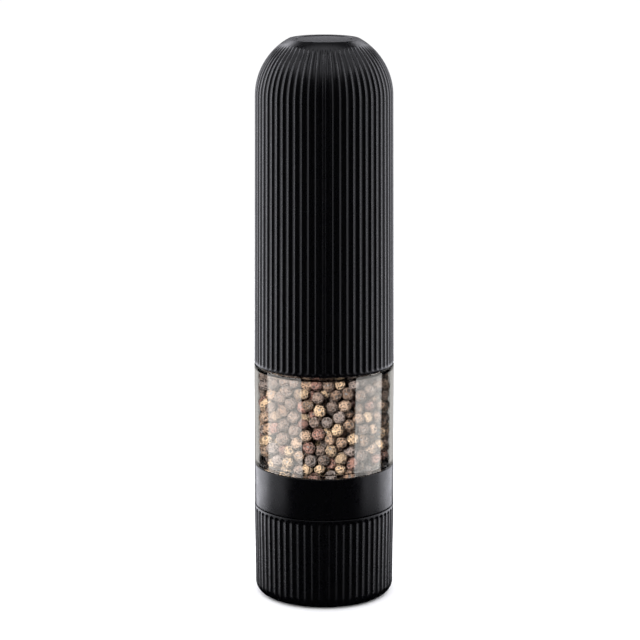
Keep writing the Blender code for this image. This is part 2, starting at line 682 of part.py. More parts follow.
def build_grinder_collar(frame):
    """The smooth band: it plugs into the cap below, holds the tube above, and has a web across it."""
    profile = [
        (BAND_RADIUS - EDGE_CHAMFER, BAND_TOP),
        (BAND_RADIUS, BAND_TOP - EDGE_CHAMFER),
        (BAND_RADIUS, BAND_BOTTOM + EDGE_CHAMFER),
        (BAND_RADIUS - EDGE_CHAMFER, BAND_BOTTOM),
        (SPIGOT_RADIUS, BAND_BOTTOM),
        (SPIGOT_RADIUS, SPIGOT_BOTTOM),
        (SPIGOT_BORE_RADIUS, SPIGOT_BOTTOM),
        (SPIGOT_BORE_RADIUS, WEB_BOTTOM),
        (FEED_HOLE_RADIUS, WEB_BOTTOM),
        (FEED_HOLE_RADIUS, WEB_TOP),
        (HOPPER_RADIUS, WEB_TOP),
        (HOPPER_RADIUS, TUBE_LEDGE_HEIGHT),
        (TUBE_SEAT_RADIUS, TUBE_LEDGE_HEIGHT),
        (TUBE_SEAT_RADIUS, BAND_TOP),
    ]
    collar = add_piece("grinder_collar", turned_mesh("grinder_collar", profile, True), BLACK_PLASTIC, frame)
    for i, place in enumerate(on_circle(HOUSING_SCREW_CIRCLE, HOUSING_SCREWS, HOUSING_SCREW_TURN)):
        screw_hole(collar, f"collar_hole_{i + 1}", place, WEB_BOTTOM - GAP, WEB_TOP - EDGE_CHAMFER)


def build_chamber_tube(frame):
    """The clear tube, flush with its neighbours, with a narrower spigot at each end."""
    profile = [
        (TUBE_SPIGOT_RADIUS, TUBE_TOP),
        (TUBE_SPIGOT_RADIUS, TUBE_SHOULDER_HIGH),
        (TUBE_RADIUS, TUBE_SHOULDER_HIGH),
        (TUBE_RADIUS, TUBE_SHOULDER_LOW),
        (TUBE_SPIGOT_RADIUS, TUBE_SHOULDER_LOW),
        (TUBE_SPIGOT_RADIUS, TUBE_BOTTOM),
        (TUBE_BORE_RADIUS, TUBE_BOTTOM),
        (TUBE_BORE_RADIUS, WINDOW_BORE_LOW),
        (TUBE_WINDOW_BORE_RADIUS, WINDOW_BORE_LOW),
        (TUBE_WINDOW_BORE_RADIUS, WINDOW_BORE_HIGH),
        (TUBE_BORE_RADIUS, WINDOW_BORE_HIGH),
        (TUBE_BORE_RADIUS, TUBE_TOP),
    ]
    add_piece("chamber_tube", turned_mesh("chamber_tube", profile, True), CLEAR_PLASTIC, frame)


def build_peppercorn_fill(frame):
    """The space that the peppercorns take up in the chamber, round the shaft."""
    profile = [
        (CORN_RADIUS, CORN_TOP),
        (CORN_RADIUS, WINDOW_BORE_HIGH - GAP),
        (CORN_WINDOW_RADIUS, WINDOW_BORE_HIGH - GAP),
        (CORN_WINDOW_RADIUS, WINDOW_BORE_LOW + GAP),
        (CORN_RADIUS, WINDOW_BORE_LOW + GAP),
        (CORN_RADIUS, CORN_BOTTOM),
        (CORN_SHAFT_RADIUS, CORN_BOTTOM),
        (CORN_SHAFT_RADIUS, CORN_TOP),
    ]
    add_piece("peppercorn_fill", turned_mesh("peppercorn_fill", profile, True), PEPPERCORN, frame)


def build_shaft_bridge(frame):
    """A rim and a hub joined by arms, with a feed opening between each two arms."""
    rim_bore = BRIDGE_RADIUS - BRIDGE_RIM_WIDTH
    outlines = [circle(BRIDGE_RADIUS), circle(SHAFT_BORE_RADIUS, SMALL_STEPS)]
    half_arm = BRIDGE_ARM_WIDTH / 2
    for i in range(BRIDGE_ARMS):
        middle = 2 * math.pi * (i + 0.5) / BRIDGE_ARMS
        wide = math.pi / BRIDGE_ARMS - math.asin(half_arm / rim_bore)
        narrow = math.pi / BRIDGE_ARMS - math.asin(half_arm / BRIDGE_HUB_RADIUS)
        outer_side = arc(rim_bore, middle - wide, middle + wide)
        outlines.append(outer_side + arc(BRIDGE_HUB_RADIUS, middle + narrow, middle - narrow))
    mesh = plate_mesh("shaft_bridge", outlines, BRIDGE_BOTTOM, BRIDGE_TOP)
    add_piece("shaft_bridge", mesh, BLACK_PLASTIC, frame)


def build_burr_housing(frame):
    """The cup that holds the outer burr under the collar's web, and the screws through its flange."""
    profile = [
        (HOUSING_FLANGE_RADIUS, HOUSING_TOP),
        (HOUSING_FLANGE_RADIUS, HOUSING_FLANGE_BOTTOM),
        (HOUSING_BODY_RADIUS, HOUSING_FLANGE_BOTTOM),
        (HOUSING_BODY_RADIUS, HOUSING_BOTTOM),
        (HOUSING_LIP_RADIUS, HOUSING_BOTTOM),
        (HOUSING_LIP_RADIUS, HOUSING_LIP_TOP),
        (HOUSING_BORE_RADIUS, HOUSING_LIP_TOP),
        (HOUSING_BORE_RADIUS, HOUSING_TOP),
    ]
    housing = add_piece("burr_housing", turned_mesh("burr_housing", profile, True), BLACK_PLASTIC, frame)
    head_low = HOUSING_FLANGE_BOTTOM - GAP - SCREW_HEAD_HEIGHT
    tip = WEB_TOP - EDGE_CHAMFER - GAP
    for i, place in enumerate(on_circle(HOUSING_SCREW_CIRCLE, HOUSING_SCREWS, HOUSING_SCREW_TURN)):
        screw_hole(housing, f"housing_hole_{i + 1}", place, HOUSING_FLANGE_BOTTOM - GAP, HOUSING_TOP + GAP)
        screw_piece(f"housing_screw_{i + 1}", STEEL, frame, place, head_low, tip, 1)


def build_outer_burr(frame):
    """The fixed ceramic ring, its conical bore cut with teeth."""
    profile = [
        (OUTER_BURR_RADIUS, OUTER_BURR_TOP),
        (OUTER_BURR_RADIUS, OUTER_BURR_BOTTOM),
        (OUTER_BURR_THROAT_RADIUS, OUTER_BURR_BOTTOM),
        (OUTER_BURR_MOUTH_RADIUS, OUTER_BURR_TOP),
    ]
    mesh = turned_mesh("outer_burr", profile, True, 4 * BURR_TEETH)

    def depth(radius, height):
        return -BURR_TOOTH_DEPTH if radius < OUTER_BURR_MOUTH_RADIUS - GAP else 0.0

    groove(mesh, 2 * BURR_TEETH, 0, depth)
    add_piece("outer_burr", mesh, CERAMIC, frame)


def build_inner_burr(frame):
    """The turning ceramic cone, toothed down its side, on the square shaft."""
    profile = [
        (0.0, INNER_BURR_TOP),
        (INNER_BURR_TOP_RADIUS, INNER_BURR_TOP),
        (INNER_BURR_FOOT_RADIUS, INNER_BURR_BOTTOM + INNER_BURR_SKIRT),
        (INNER_BURR_FOOT_RADIUS, INNER_BURR_BOTTOM),
        (0.0, INNER_BURR_BOTTOM),
    ]
    mesh = turned_mesh("inner_burr", profile, False, 2 * BURR_TEETH)

    def depth(radius, height):
        return BURR_TOOTH_DEPTH if radius > INNER_BURR_TOP_RADIUS - GAP else 0.0

    def twist(radius, height):
        return BURR_TWIST * (height - INNER_BURR_BOTTOM) / INNER_BURR_HEIGHT

    groove(mesh, BURR_TEETH, 0, depth, twist)
    burr = add_piece("inner_burr", mesh, CERAMIC, frame)
    middle = (INNER_BURR_TOP + INNER_BURR_BOTTOM) / 2
    size = (SOCKET_SIDE, SOCKET_SIDE, INNER_BURR_HEIGHT + 2 * GAP)
    combine(burr, add_cutter("burr_bore", box_mesh("burr_bore", size, (0.0, 0.0, middle))))


def build_drive_shaft(frame):
    """A square shaft from the gearbox's socket to the burr, with a round foot for the knob."""
    square_low = KNOB_NECK_TOP + GAP
    middle = (SHAFT_TOP + square_low) / 2
    size = (SHAFT_SIDE, SHAFT_SIDE, SHAFT_TOP - square_low)
    shaft = add_piece("drive_shaft", box_mesh("drive_shaft", size, (0.0, 0.0, middle)), STEEL, frame)
    foot = rod_mesh("shaft_foot", SHAFT_FOOT_RADIUS, SHAFT_BOTTOM, square_low + SHAFT_FOOT_RADIUS)
    combine(shaft, add_cutter("shaft_foot", foot), "UNION")


def build_burr_spring(frame):
    """The spring that holds the inner burr down on the knob, and the washer over it."""
    points = coil_points(
        INNER_BURR_TOP + GAP,
        SPRING_WASHER_BOTTOM - GAP,
        BURR_SPRING_RADIUS,
        BURR_SPRING_RADIUS,
        BURR_SPRING_WIRE,
        BURR_SPRING_TURNS,
    )
    add_piece("burr_spring", wire_mesh("burr_spring", points, BURR_SPRING_WIRE), STEEL, frame)
    profile = [
        (SPRING_WASHER_RADIUS, SPRING_WASHER_TOP),
        (SPRING_WASHER_RADIUS, SPRING_WASHER_BOTTOM),
        (SHAFT_BORE_RADIUS, SPRING_WASHER_BOTTOM),
        (SHAFT_BORE_RADIUS, SPRING_WASHER_TOP),
    ]
    add_piece("spring_washer", turned_mesh("spring_washer", profile, True, SMALL_STEPS), STEEL, frame)


def build_adjust_knob(frame):
    """The grind adjusting knob: a scalloped disc with a neck that bears on the inner burr."""
    knob_top = KNOB_BOTTOM + KNOB_HEIGHT
    profile = [
        (KNOB_NECK_RADIUS, KNOB_NECK_TOP),
        (KNOB_NECK_RADIUS, knob_top),
        (KNOB_RADIUS, knob_top),
        (KNOB_RADIUS, KNOB_BOTTOM),
        (KNOB_BORE_RADIUS, KNOB_BOTTOM),
        (KNOB_BORE_RADIUS, KNOB_NECK_TOP),
    ]
    mesh = turned_mesh("adjust_knob", profile, True, 2 * KNOB_GRIPS)

    def depth(radius, height):
        return KNOB_GRIP_DEPTH if radius > KNOB_RADIUS - GAP else 0.0

    groove(mesh, KNOB_GRIPS, 0, depth)
    add_piece("adjust_knob", mesh, BLACK_PLASTIC, frame)


def build_motor_deck(frame):
    """The plate that closes the chamber. Its skirt plugs into the tube and it carries the gearbox."""
    profile = [
        (DECK_RADIUS, DECK_TOP),
        (DECK_RADIUS, DECK_BOTTOM),
        (DECK_PLUG_RADIUS, DECK_BOTTOM),
        (DECK_PLUG_RADIUS, DECK_PLUG_BOTTOM),
        (DECK_PLUG_RADIUS - DECK_PLUG_WALL, DECK_PLUG_BOTTOM),
        (DECK_PLUG_RADIUS - DECK_PLUG_WALL, DECK_BOTTOM),
        (DECK_HOLE_RADIUS, DECK_BOTTOM),
        (DECK_HOLE_RADIUS, DECK_TOP),
    ]
    deck = add_piece("motor_deck", turned_mesh("motor_deck", profile, True), BLACK_PLASTIC, frame)
    head_low = DECK_BOTTOM - GAP - SCREW_HEAD_HEIGHT
    tip = GEAR_HOUSING_BOTTOM + GEAR_HOUSING_FLOOR
    for i, place in enumerate(on_circle(TIE_BOLT_CIRCLE, DECK_SCREWS, DECK_SCREW_TURN)):
        screw_hole(deck, f"deck_hole_{i + 1}", place, DECK_BOTTOM - GAP, DECK_TOP + GAP)
        screw_piece(f"deck_screw_{i + 1}", STEEL, frame, place, head_low, tip, 1)


def build_gear_housing(frame):
    """The cup round the gears, open at the top, with holes for the screws below and above."""
    floor_top = GEAR_HOUSING_BOTTOM + GEAR_HOUSING_FLOOR
    profile = [
        (GEAR_HOUSING_RADIUS, GEAR_HOUSING_TOP),
        (GEAR_HOUSING_RADIUS, GEAR_HOUSING_BOTTOM),
        (DECK_HOLE_RADIUS, GEAR_HOUSING_BOTTOM),
        (DECK_HOLE_RADIUS, floor_top),
        (GEAR_HOUSING_BORE_RADIUS, floor_top),
        (GEAR_HOUSING_BORE_RADIUS, GEAR_HOUSING_TOP),
    ]
    housing = add_piece("gear_housing", turned_mesh("gear_housing", profile, True), GREY_PLASTIC, frame)
    for i, place in enumerate(on_circle(TIE_BOLT_CIRCLE, DECK_SCREWS, DECK_SCREW_TURN)):
        screw_hole(housing, f"gear_housing_hole_{i + 1}", place, GEAR_HOUSING_BOTTOM - GAP, floor_top + GAP)
    for i, place in enumerate(on_circle(TIE_BOLT_CIRCLE, TIE_BOLTS)):
        screw_hole(housing, f"tie_hole_{i + 1}", place, TIE_BOLT_TIP - GAP, GEAR_HOUSING_TOP + GAP)


def build_gear_lid(frame):
    """The plate between the gears and the motor, and the two screws that hold the motor to it."""
    profile = [
        (GEAR_HOUSING_RADIUS, GEAR_LID_TOP),
        (GEAR_HOUSING_RADIUS, GEAR_LID_BOTTOM),
        (MOTOR_SHAFT_RADIUS + GAP, GEAR_LID_BOTTOM),
        (MOTOR_SHAFT_RADIUS + GAP, GEAR_LID_TOP),
    ]
    lid = add_piece("gear_lid", turned_mesh("gear_lid", profile, True), GREY_PLASTIC, frame)
    for i, place in enumerate(on_circle(TIE_BOLT_CIRCLE, TIE_BOLTS)):
        screw_hole(lid, f"lid_tie_hole_{i + 1}", place, GEAR_LID_BOTTOM - GAP, GEAR_LID_TOP + GAP)
    head_low = GEAR_LID_BOTTOM - GAP - SCREW_HEAD_HEIGHT
    tip = MOTOR_BOTTOM + MOTOR_WALL
    for i, place in enumerate(on_circle(MOTOR_SCREW_CIRCLE, MOTOR_SCREWS)):
        screw_hole(lid, f"lid_motor_hole_{i + 1}", place, GEAR_LID_BOTTOM - GAP, GEAR_LID_TOP + GAP)
        screw_piece(f"motor_screw_{i + 1}", STEEL, frame, place, head_low, tip, 1)


def tooth_outline(teeth, tip_radius, root_radius, tip_share, foot_share, turn=0.0):
    """A gear's outline: each tooth is a trapezium, centred on turn and each pitch from it.

    tip_share and foot_share are the tooth's half widths there, as shares of the pitch.
    """
    pitch = 2 * math.pi / teeth
    points = []
    for i in range(teeth):
        middle = turn + pitch * i
        for radius, share in (
            (root_radius, -foot_share),
            (tip_radius, -tip_share),
            (tip_radius, tip_share),
            (root_radius, foot_share),
        ):
            angle = middle + pitch * share
            points.append((radius * math.cos(angle), radius * math.sin(angle)))
    return points


def outer_teeth(teeth):
    """The outline of a gear with teeth outside, one of them on +X."""
    pitch_radius = GEAR_MODULE * teeth / 2
    tip = pitch_radius + TOOTH_TIP * GEAR_MODULE
    root = pitch_radius - TOOTH_ROOT * GEAR_MODULE
    return tooth_outline(teeth, tip, root, TOOTH_TIP_SHARE, TOOTH_FOOT_SHARE)


def build_ring_gear(frame):
    """The fixed ring, with teeth inside and a space between two teeth on +X."""
    pitch_radius = GEAR_MODULE * RING_TEETH / 2
    tip = pitch_radius - TOOTH_TIP * GEAR_MODULE
    root = pitch_radius + TOOTH_ROOT * GEAR_MODULE
    teeth = tooth_outline(RING_TEETH, tip, root, TOOTH_TIP_SHARE, TOOTH_FOOT_SHARE, math.pi / RING_TEETH)
    low = GEAR_HOUSING_BOTTOM + GEAR_HOUSING_FLOOR + GAP
    mesh = plate_mesh("ring_gear", [circle(RING_GEAR_RADIUS), teeth], low, GEAR_TOP)
    add_piece("ring_gear", mesh, GEAR_PLASTIC, frame)


def planet_places():
    return on_circle(PLANET_CIRCLE, PLANETS)


def build_planet_carrier(frame):
    """The output of the gearbox: a disc with three pins above and a square drive socket below."""
    profile = [
        (0.0, CARRIER_TOP),
        (CARRIER_RADIUS, CARRIER_TOP),
        (CARRIER_RADIUS, CARRIER_BOTTOM),
        (CARRIER_HUB_RADIUS, CARRIER_BOTTOM),
        (CARRIER_HUB_RADIUS, CARRIER_HUB_BOTTOM),
        (0.0, CARRIER_HUB_BOTTOM),
    ]
    mesh = turned_mesh("planet_carrier", profile, False, SMALL_STEPS)
    carrier = add_piece("planet_carrier", mesh, STEEL, frame)
    for i, place in enumerate(planet_places()):
        pin = rod_mesh("planet_pin", PLANET_PIN_RADIUS, CARRIER_TOP - GAP, GEAR_TOP, SCREW_STEPS)
        combine(carrier, add_cutter(f"planet_pin_{i + 1}", pin, (*place, 0.0)), "UNION")
    low = CARRIER_HUB_BOTTOM - GAP
    size = (SOCKET_SIDE, SOCKET_SIDE, SOCKET_TOP - low)
    socket = box_mesh("drive_socket", size, (0.0, 0.0, (SOCKET_TOP + low) / 2))
    combine(carrier, add_cutter("drive_socket", socket))


def build_planets(frames):
    """Three planets on their pins, each with a tooth pointing away from the middle of the gearbox."""
    for i, place in enumerate(planet_places()):
        outlines = [outer_teeth(PLANET_TEETH), circle(PLANET_PIN_RADIUS + GAP, SCREW_STEPS)]
        mesh = plate_mesh(f"planet_gear_{i + 1}", outlines, 0.0, GEAR_HEIGHT)
        turn = math.atan2(place[1], place[0])
        add_piece(f"planet_gear_{i + 1}", mesh, GEAR_PLASTIC, frames[i], (*place, GEAR_BOTTOM), turn)


def build_rotor(frame):
    """The motor's turning part: the armature with its shaft, and the sun gear on the shaft's end."""
    outlines = [outer_teeth(SUN_TEETH), circle(MOTOR_SHAFT_RADIUS + GAP, SCREW_STEPS)]
    add_piece("sun_gear", plate_mesh("sun_gear", outlines, GEAR_BOTTOM, GEAR_TOP), BRASS, frame)
    core_top = ARMATURE_BOTTOM + ARMATURE_LENGTH
    profile = [
        (0.0, MOTOR_TOP),
        (MOTOR_SHAFT_RADIUS, MOTOR_TOP),
        (MOTOR_SHAFT_RADIUS, core_top + COMMUTATOR_LENGTH),
        (COMMUTATOR_RADIUS, core_top + COMMUTATOR_LENGTH),
        (COMMUTATOR_RADIUS, core_top),
        (ARMATURE_RADIUS, core_top),
        (ARMATURE_RADIUS, ARMATURE_BOTTOM),
        (MOTOR_SHAFT_RADIUS, ARMATURE_BOTTOM),
        (MOTOR_SHAFT_RADIUS, GEAR_BOTTOM),
        (0.0, GEAR_BOTTOM),
    ]
    add_piece("motor_armature", turned_mesh("motor_armature", profile, False, SMALL_STEPS), COPPER, frame)


def build_motor(frame):
    """The motor's fixed parts: the can, the rolled magnet strip, the end cap and two terminals."""
    floor_top = MOTOR_BOTTOM + MOTOR_WALL
    profile = [
        (MOTOR_RADIUS, MOTOR_TOP),
        (MOTOR_RADIUS, MOTOR_BOTTOM),
        (MOTOR_SHAFT_RADIUS + GAP, MOTOR_BOTTOM),
        (MOTOR_SHAFT_RADIUS + GAP, floor_top),
        (MOTOR_BORE_RADIUS, floor_top),
        (MOTOR_BORE_RADIUS, MOTOR_TOP),
    ]
    can = add_piece("motor_can", turned_mesh("motor_can", profile, True, SMALL_STEPS), STEEL, frame)
    for i, place in enumerate(on_circle(MOTOR_SCREW_CIRCLE, MOTOR_SCREWS)):
        screw_hole(can, f"motor_hole_{i + 1}", place, MOTOR_BOTTOM - GAP, floor_top + GAP)

    inner = MAGNET_RADIUS - MAGNET_THICKNESS
    low = ARMATURE_BOTTOM - (MAGNET_LENGTH - ARMATURE_LENGTH) / 2
    half = MAGNET_ARC / 2
    outline = arc(MAGNET_RADIUS, -half, half, MAGNET_STEPS) + arc(inner, half, -half, MAGNET_STEPS)
    mesh = plate_mesh("motor_magnet", [outline], low, low + MAGNET_LENGTH)
    add_piece("motor_magnet", mesh, MAGNET, frame)

    profile = [
        (MOTOR_RADIUS, MOTOR_CAP_TOP),
        (MOTOR_RADIUS, MOTOR_CAP_BOTTOM),
        (MAGNET_RADIUS, MOTOR_CAP_BOTTOM),
        (MAGNET_RADIUS, MOTOR_CAP_BOTTOM - MOTOR_CAP_PLUG),
        (MOTOR_SHAFT_RADIUS + GAP, MOTOR_CAP_BOTTOM - MOTOR_CAP_PLUG),
        (MOTOR_SHAFT_RADIUS + GAP, MOTOR_CAP_TOP),
    ]
    mesh = turned_mesh("motor_end_cap", profile, True, SMALL_STEPS)
    add_piece("motor_end_cap", mesh, GREY_PLASTIC, frame)
    size = (TERMINAL_WIDTH, TERMINAL_THICKNESS, TERMINAL_HEIGHT)
    for i in range(2):
        centre = (0.0, TERMINAL_OFFSET * (1 - 2 * i), MOTOR_CAP_TOP + GAP + TERMINAL_HEIGHT / 2)
        name = f"motor_terminal_{i + 1}"
        add_piece(name, box_mesh(name, size, centre), BRASS, frame)


def build_motor_sleeve(frame):
    """The tube round the motor that carries the battery tray."""
    profile = [
        (SLEEVE_RADIUS, SLEEVE_TOP),
        (SLEEVE_RADIUS, MOTOR_BOTTOM),
        (SLEEVE_BORE_RADIUS, MOTOR_BOTTOM),
        (SLEEVE_BORE_RADIUS, SLEEVE_TOP),
    ]
    add_piece("motor_sleeve", turned_mesh("motor_sleeve", profile, True), GREY_PLASTIC, frame)


def build_tie_bolts(frame):
    """Long screws from the tray's floor, beside the sleeve, into the gear housing."""
    for i, place in enumerate(on_circle(TIE_BOLT_CIRCLE, TIE_BOLTS)):
        head_top = TRAY_FLOOR_TOP + GAP + SCREW_HEAD_HEIGHT
        screw_piece(f"tie_bolt_{i + 1}", STEEL, frame, place, head_top, TIE_BOLT_TIP, -1)


def cell_places():
    """The cells' places, anticlockwise from +X +Y."""
    half = CELL_SPACING / 2
    return [(half, half), (-half, half), (-half, -half), (half, -half)]


def lead_runs():
    """Where the three leads run up or down between the cells."""
    return {
        "motor_to_switch": (0.0, LEAD_RUN_RADIUS),
        "motor_to_cell": (0.0, -LEAD_RUN_RADIUS),
        "cell_to_switch": (LEAD_RUN_RADIUS, 0.0),
    }


def build_battery_tray(frame):
    """Two round plates on a middle post, with holes for the leads and the tie bolts."""
    profile = [
        (0.0, TRAY_TOP),
        (TRAY_PLATE_RADIUS, TRAY_TOP),
        (TRAY_PLATE_RADIUS, TRAY_CEILING),
        (TRAY_POST_RADIUS, TRAY_CEILING),
        (TRAY_POST_RADIUS, TRAY_FLOOR_TOP),
        (TRAY_PLATE_RADIUS, TRAY_FLOOR_TOP),
        (TRAY_PLATE_RADIUS, TRAY_BOTTOM),
        (0.0, TRAY_BOTTOM),
    ]
    tray = add_piece("battery_tray", turned_mesh("battery_tray", profile, False), GREY_PLASTIC, frame)
    for i, place in enumerate(on_circle(TIE_BOLT_CIRCLE, TIE_BOLTS)):
        screw_hole(tray, f"tray_tie_hole_{i + 1}", place, TRAY_BOTTOM - GAP, TRAY_FLOOR_TOP + GAP)
    plates = {
        "floor": (TRAY_BOTTOM - GAP, TRAY_FLOOR_TOP + GAP),
        "ceiling": (TRAY_CEILING - GAP, TRAY_TOP + GAP),
    }
    passes = {
        "motor_to_switch": ("floor", "ceiling"),
        "motor_to_cell": ("floor",),
        "cell_to_switch": ("ceiling",),
    }
    for lead, run in lead_runs().items():
        for plate in passes[lead]:
            low, high = plates[plate]
            drill(tray, f"{lead}_{plate}_hole", LEAD_HOLE_RADIUS, run, low, high)


def build_cells(frame):
    """Four cells in series. The first and third stand on their flat ends, the others on their nubs."""
    nub_base = CELL_LENGTH - CELL_NUB_HEIGHT
    profile = [
        (0.0, CELL_LENGTH),
        (CELL_NUB_RADIUS, CELL_LENGTH),
        (CELL_NUB_RADIUS, nub_base),
        (CELL_RADIUS, nub_base),
        (CELL_RADIUS, 0.0),
        (0.0, 0.0),
    ]
    for i, place in enumerate(cell_places()):
        name = f"battery_{i + 1}"
        mesh = turned_mesh(name, profile, False, SMALL_STEPS)
        stands_up = i % 2 == 0
        if stands_up:
            low = LOW_CONTACT_TOP + CELL_SPRING_SPACE
        else:
            mesh.transform(Matrix.Rotation(math.pi, 4, "X"))
            low = LOW_CONTACT_TOP + GAP + CELL_LENGTH
        add_piece(name, mesh, CELL_WRAP, frame, (*place, low))
        spring_low = LOW_CONTACT_TOP + GAP if stands_up else HIGH_CONTACT - CELL_SPRING_HEIGHT - GAP
        widths = (CELL_SPRING_RADIUS, CELL_SPRING_RADIUS - CELL_SPRING_TAPER)
        foot, top = widths if stands_up else widths[::-1]
        points = coil_points(0.0, CELL_SPRING_HEIGHT, foot, top, CELL_SPRING_WIRE, CELL_SPRING_TURNS)
        name = f"cell_spring_{i + 1}"
        add_piece(name, wire_mesh(name, points, CELL_SPRING_WIRE), STEEL, frame, (*place, spring_low))


def build_contacts(frame):
    """Thin plates: two bridges above, one bridge below, and one end terminal for each lead below."""
    half = CELL_SPACING / 2
    reach = CONTACT_REACH
    bridge = (CONTACT_WIDTH, CELL_SPACING + 2 * reach, CONTACT_THICKNESS)
    across = (CELL_SPACING + 2 * reach, CONTACT_WIDTH, CONTACT_THICKNESS)
    single = (2 * reach, 2 * reach, CONTACT_THICKNESS)
    low = LOW_CONTACT + CONTACT_THICKNESS / 2
    high = HIGH_CONTACT + CONTACT_THICKNESS / 2
    contacts = {
        "upper_bridge_1": (across, (0.0, half, high)),
        "upper_bridge_2": (across, (0.0, -half, high)),
        "lower_bridge": (bridge, (-half, 0.0, low)),
        "positive_terminal": (single, (half, -half, low)),
        "negative_terminal": (single, (half, half, low)),
    }
    for name, (size, centre) in contacts.items():
        add_piece(name, box_mesh(name, size, centre), BRASS, frame)


def rounded_path(corners):
    """A path through corners, each turned by an arc-like blend between the two straight runs."""
    points = [Vector(corners[0])]
    for before, corner, after in zip(corners, corners[1:], corners[2:]):
        corner = Vector(corner)
        start = corner + (Vector(before) - corner).normalized() * LEAD_BEND_RADIUS
        end = corner + (Vector(after) - corner).normalized() * LEAD_BEND_RADIUS
        for i in range(LEAD_BEND_STEPS + 1):
            share = i / LEAD_BEND_STEPS
            points.append(start.lerp(corner, share).lerp(corner.lerp(end, share), share))
    points.append(Vector(corners[-1]))
    return points


def build_leads(frame):
    """Three insulated wires, which run in the notches between the cells."""
    runs = lead_runs()
    switch_z = SWITCH_BOTTOM + LEAD_SWITCH_HEIGHT
    switch_edge = SWITCH_SIDE / 2 + GAP
    terminal_z = MOTOR_CAP_TOP + GAP + TERMINAL_HEIGHT / 2
    terminal_edge = TERMINAL_OFFSET + TERMINAL_THICKNESS / 2 + GAP
    contact_edge = CELL_SPACING / 2 - CONTACT_REACH - GAP
    contact_z = LOW_CONTACT_TOP + LEAD_RADIUS
    x, y = runs["motor_to_switch"]
    start = (0.0, terminal_edge, terminal_z)
    to_switch = [start, (x, y, terminal_z), (x, y, switch_z), (0.0, switch_edge, switch_z)]
    x, y = runs["motor_to_cell"]
    landing = (contact_edge, y, contact_z)
    to_cell = [(0.0, -terminal_edge, terminal_z), (x, y, terminal_z), (x, y, contact_z), landing]
    x, y = runs["cell_to_switch"]
    start = (x, contact_edge, contact_z)
    from_cell = [start, (x, y, contact_z), (x, y, switch_z), (switch_edge, 0.0, switch_z)]
    leads = {
        "lead_motor_to_switch": (to_switch, RED_WIRE),
        "lead_motor_to_cell": (to_cell, BLACK_WIRE),
        "lead_cell_to_switch": (from_cell, BLACK_WIRE),
    }
    for name, (corners, material) in leads.items():
        add_piece(name, wire_mesh(name, rounded_path(corners), LEAD_RADIUS), material, frame)


def build_switch(frame, plunger_frame):
    """The switch on the tray, with a well for the plunger that the button's stem pushes."""
    middle = (SWITCH_BOTTOM + SWITCH_TOP) / 2
    body = box_mesh("switch_body", (SWITCH_SIDE, SWITCH_SIDE, SWITCH_HEIGHT), (0.0, 0.0, middle))
    switch = add_piece("switch_body", body, BLACK_PLASTIC, frame)
    floor_top = SWITCH_BOTTOM + SWITCH_FLOOR
    well = rod_mesh("plunger_well", PLUNGER_RADIUS + GAP, floor_top, SWITCH_TOP + GAP, SMALL_STEPS)
    combine(switch, add_cutter("plunger_well", well))
    plunger_low = floor_top + BUTTON_TRAVEL + PLUNGER_FLANGE
    plunger = rod_mesh("switch_plunger", PLUNGER_RADIUS, plunger_low, PLUNGER_TOP, SMALL_STEPS)
    add_piece("switch_plunger", plunger, GEAR_PLASTIC, plunger_frame)


def build_top_casing(frame):
    """The long fluted shell. Its flutes run up onto the dome and fade below the smooth top."""
    flute_low = CASING_BOTTOM + PLAIN_RIM
    flat_angle = math.asin((TOTAL_HEIGHT - DOME_CENTRE_HEIGHT) / DOME_RADIUS)
    angles = [flat_angle] + [math.radians(a) for a in reversed(DOME_ANGLES)]
    profile = [(0.0, TOTAL_HEIGHT)] + [dome_point(0.0, angle) for angle in angles]
    profile += [
        (CASING_RIM_RADIUS, flute_low + FLUTE_RUNOUT),
        (CASING_RIM_RADIUS, flute_low),
        (CASING_RIM_RADIUS, CASING_BOTTOM + EDGE_CHAMFER),
        (CASING_RIM_RADIUS - EDGE_CHAMFER, CASING_BOTTOM),
        (0.0, CASING_BOTTOM),
    ]
    mesh = turned_mesh("top_casing", profile, False, 2 * FLUTE_COUNT)
    full_height = dome_point(0.0, DOME_FLUTE_FULL)[1]
    end_height = dome_point(0.0, DOME_FLUTE_END)[1]

    def depth(radius, height):
        below = (height - flute_low) / FLUTE_RUNOUT
        above = (end_height - height) / (end_height - full_height)
        return FLUTE_DEPTH * max(0.0, min(1.0, below, above))

    groove(mesh, FLUTE_COUNT, 0, depth)
    casing = add_piece("top_casing", mesh, BLACK_PLASTIC, frame)

    ceiling = TOTAL_HEIGHT - CASING_WALL
    bore_radius = DOME_RADIUS - CASING_WALL
    steep = math.asin((ceiling - DOME_CENTRE_HEIGHT) / bore_radius)
    rows = [steep * (1 - i / DOME_BORE_ROWS) for i in range(DOME_BORE_ROWS + 1)]
    bore = [(0.0, ceiling)] + [dome_point(CASING_WALL, angle) for angle in rows]
    bore += [(CASING_BORE_RIM_RADIUS, CASING_BOTTOM - GAP), (0.0, CASING_BOTTOM - GAP)]
    combine(casing, add_cutter("casing_bore", turned_mesh("casing_bore", bore, False)))
    hole = rod_mesh("button_hole", BUTTON_HOLE_RADIUS, ceiling - GAP, TOTAL_HEIGHT + GAP, ROUND_STEPS)
    combine(casing, add_cutter("button_hole", hole))


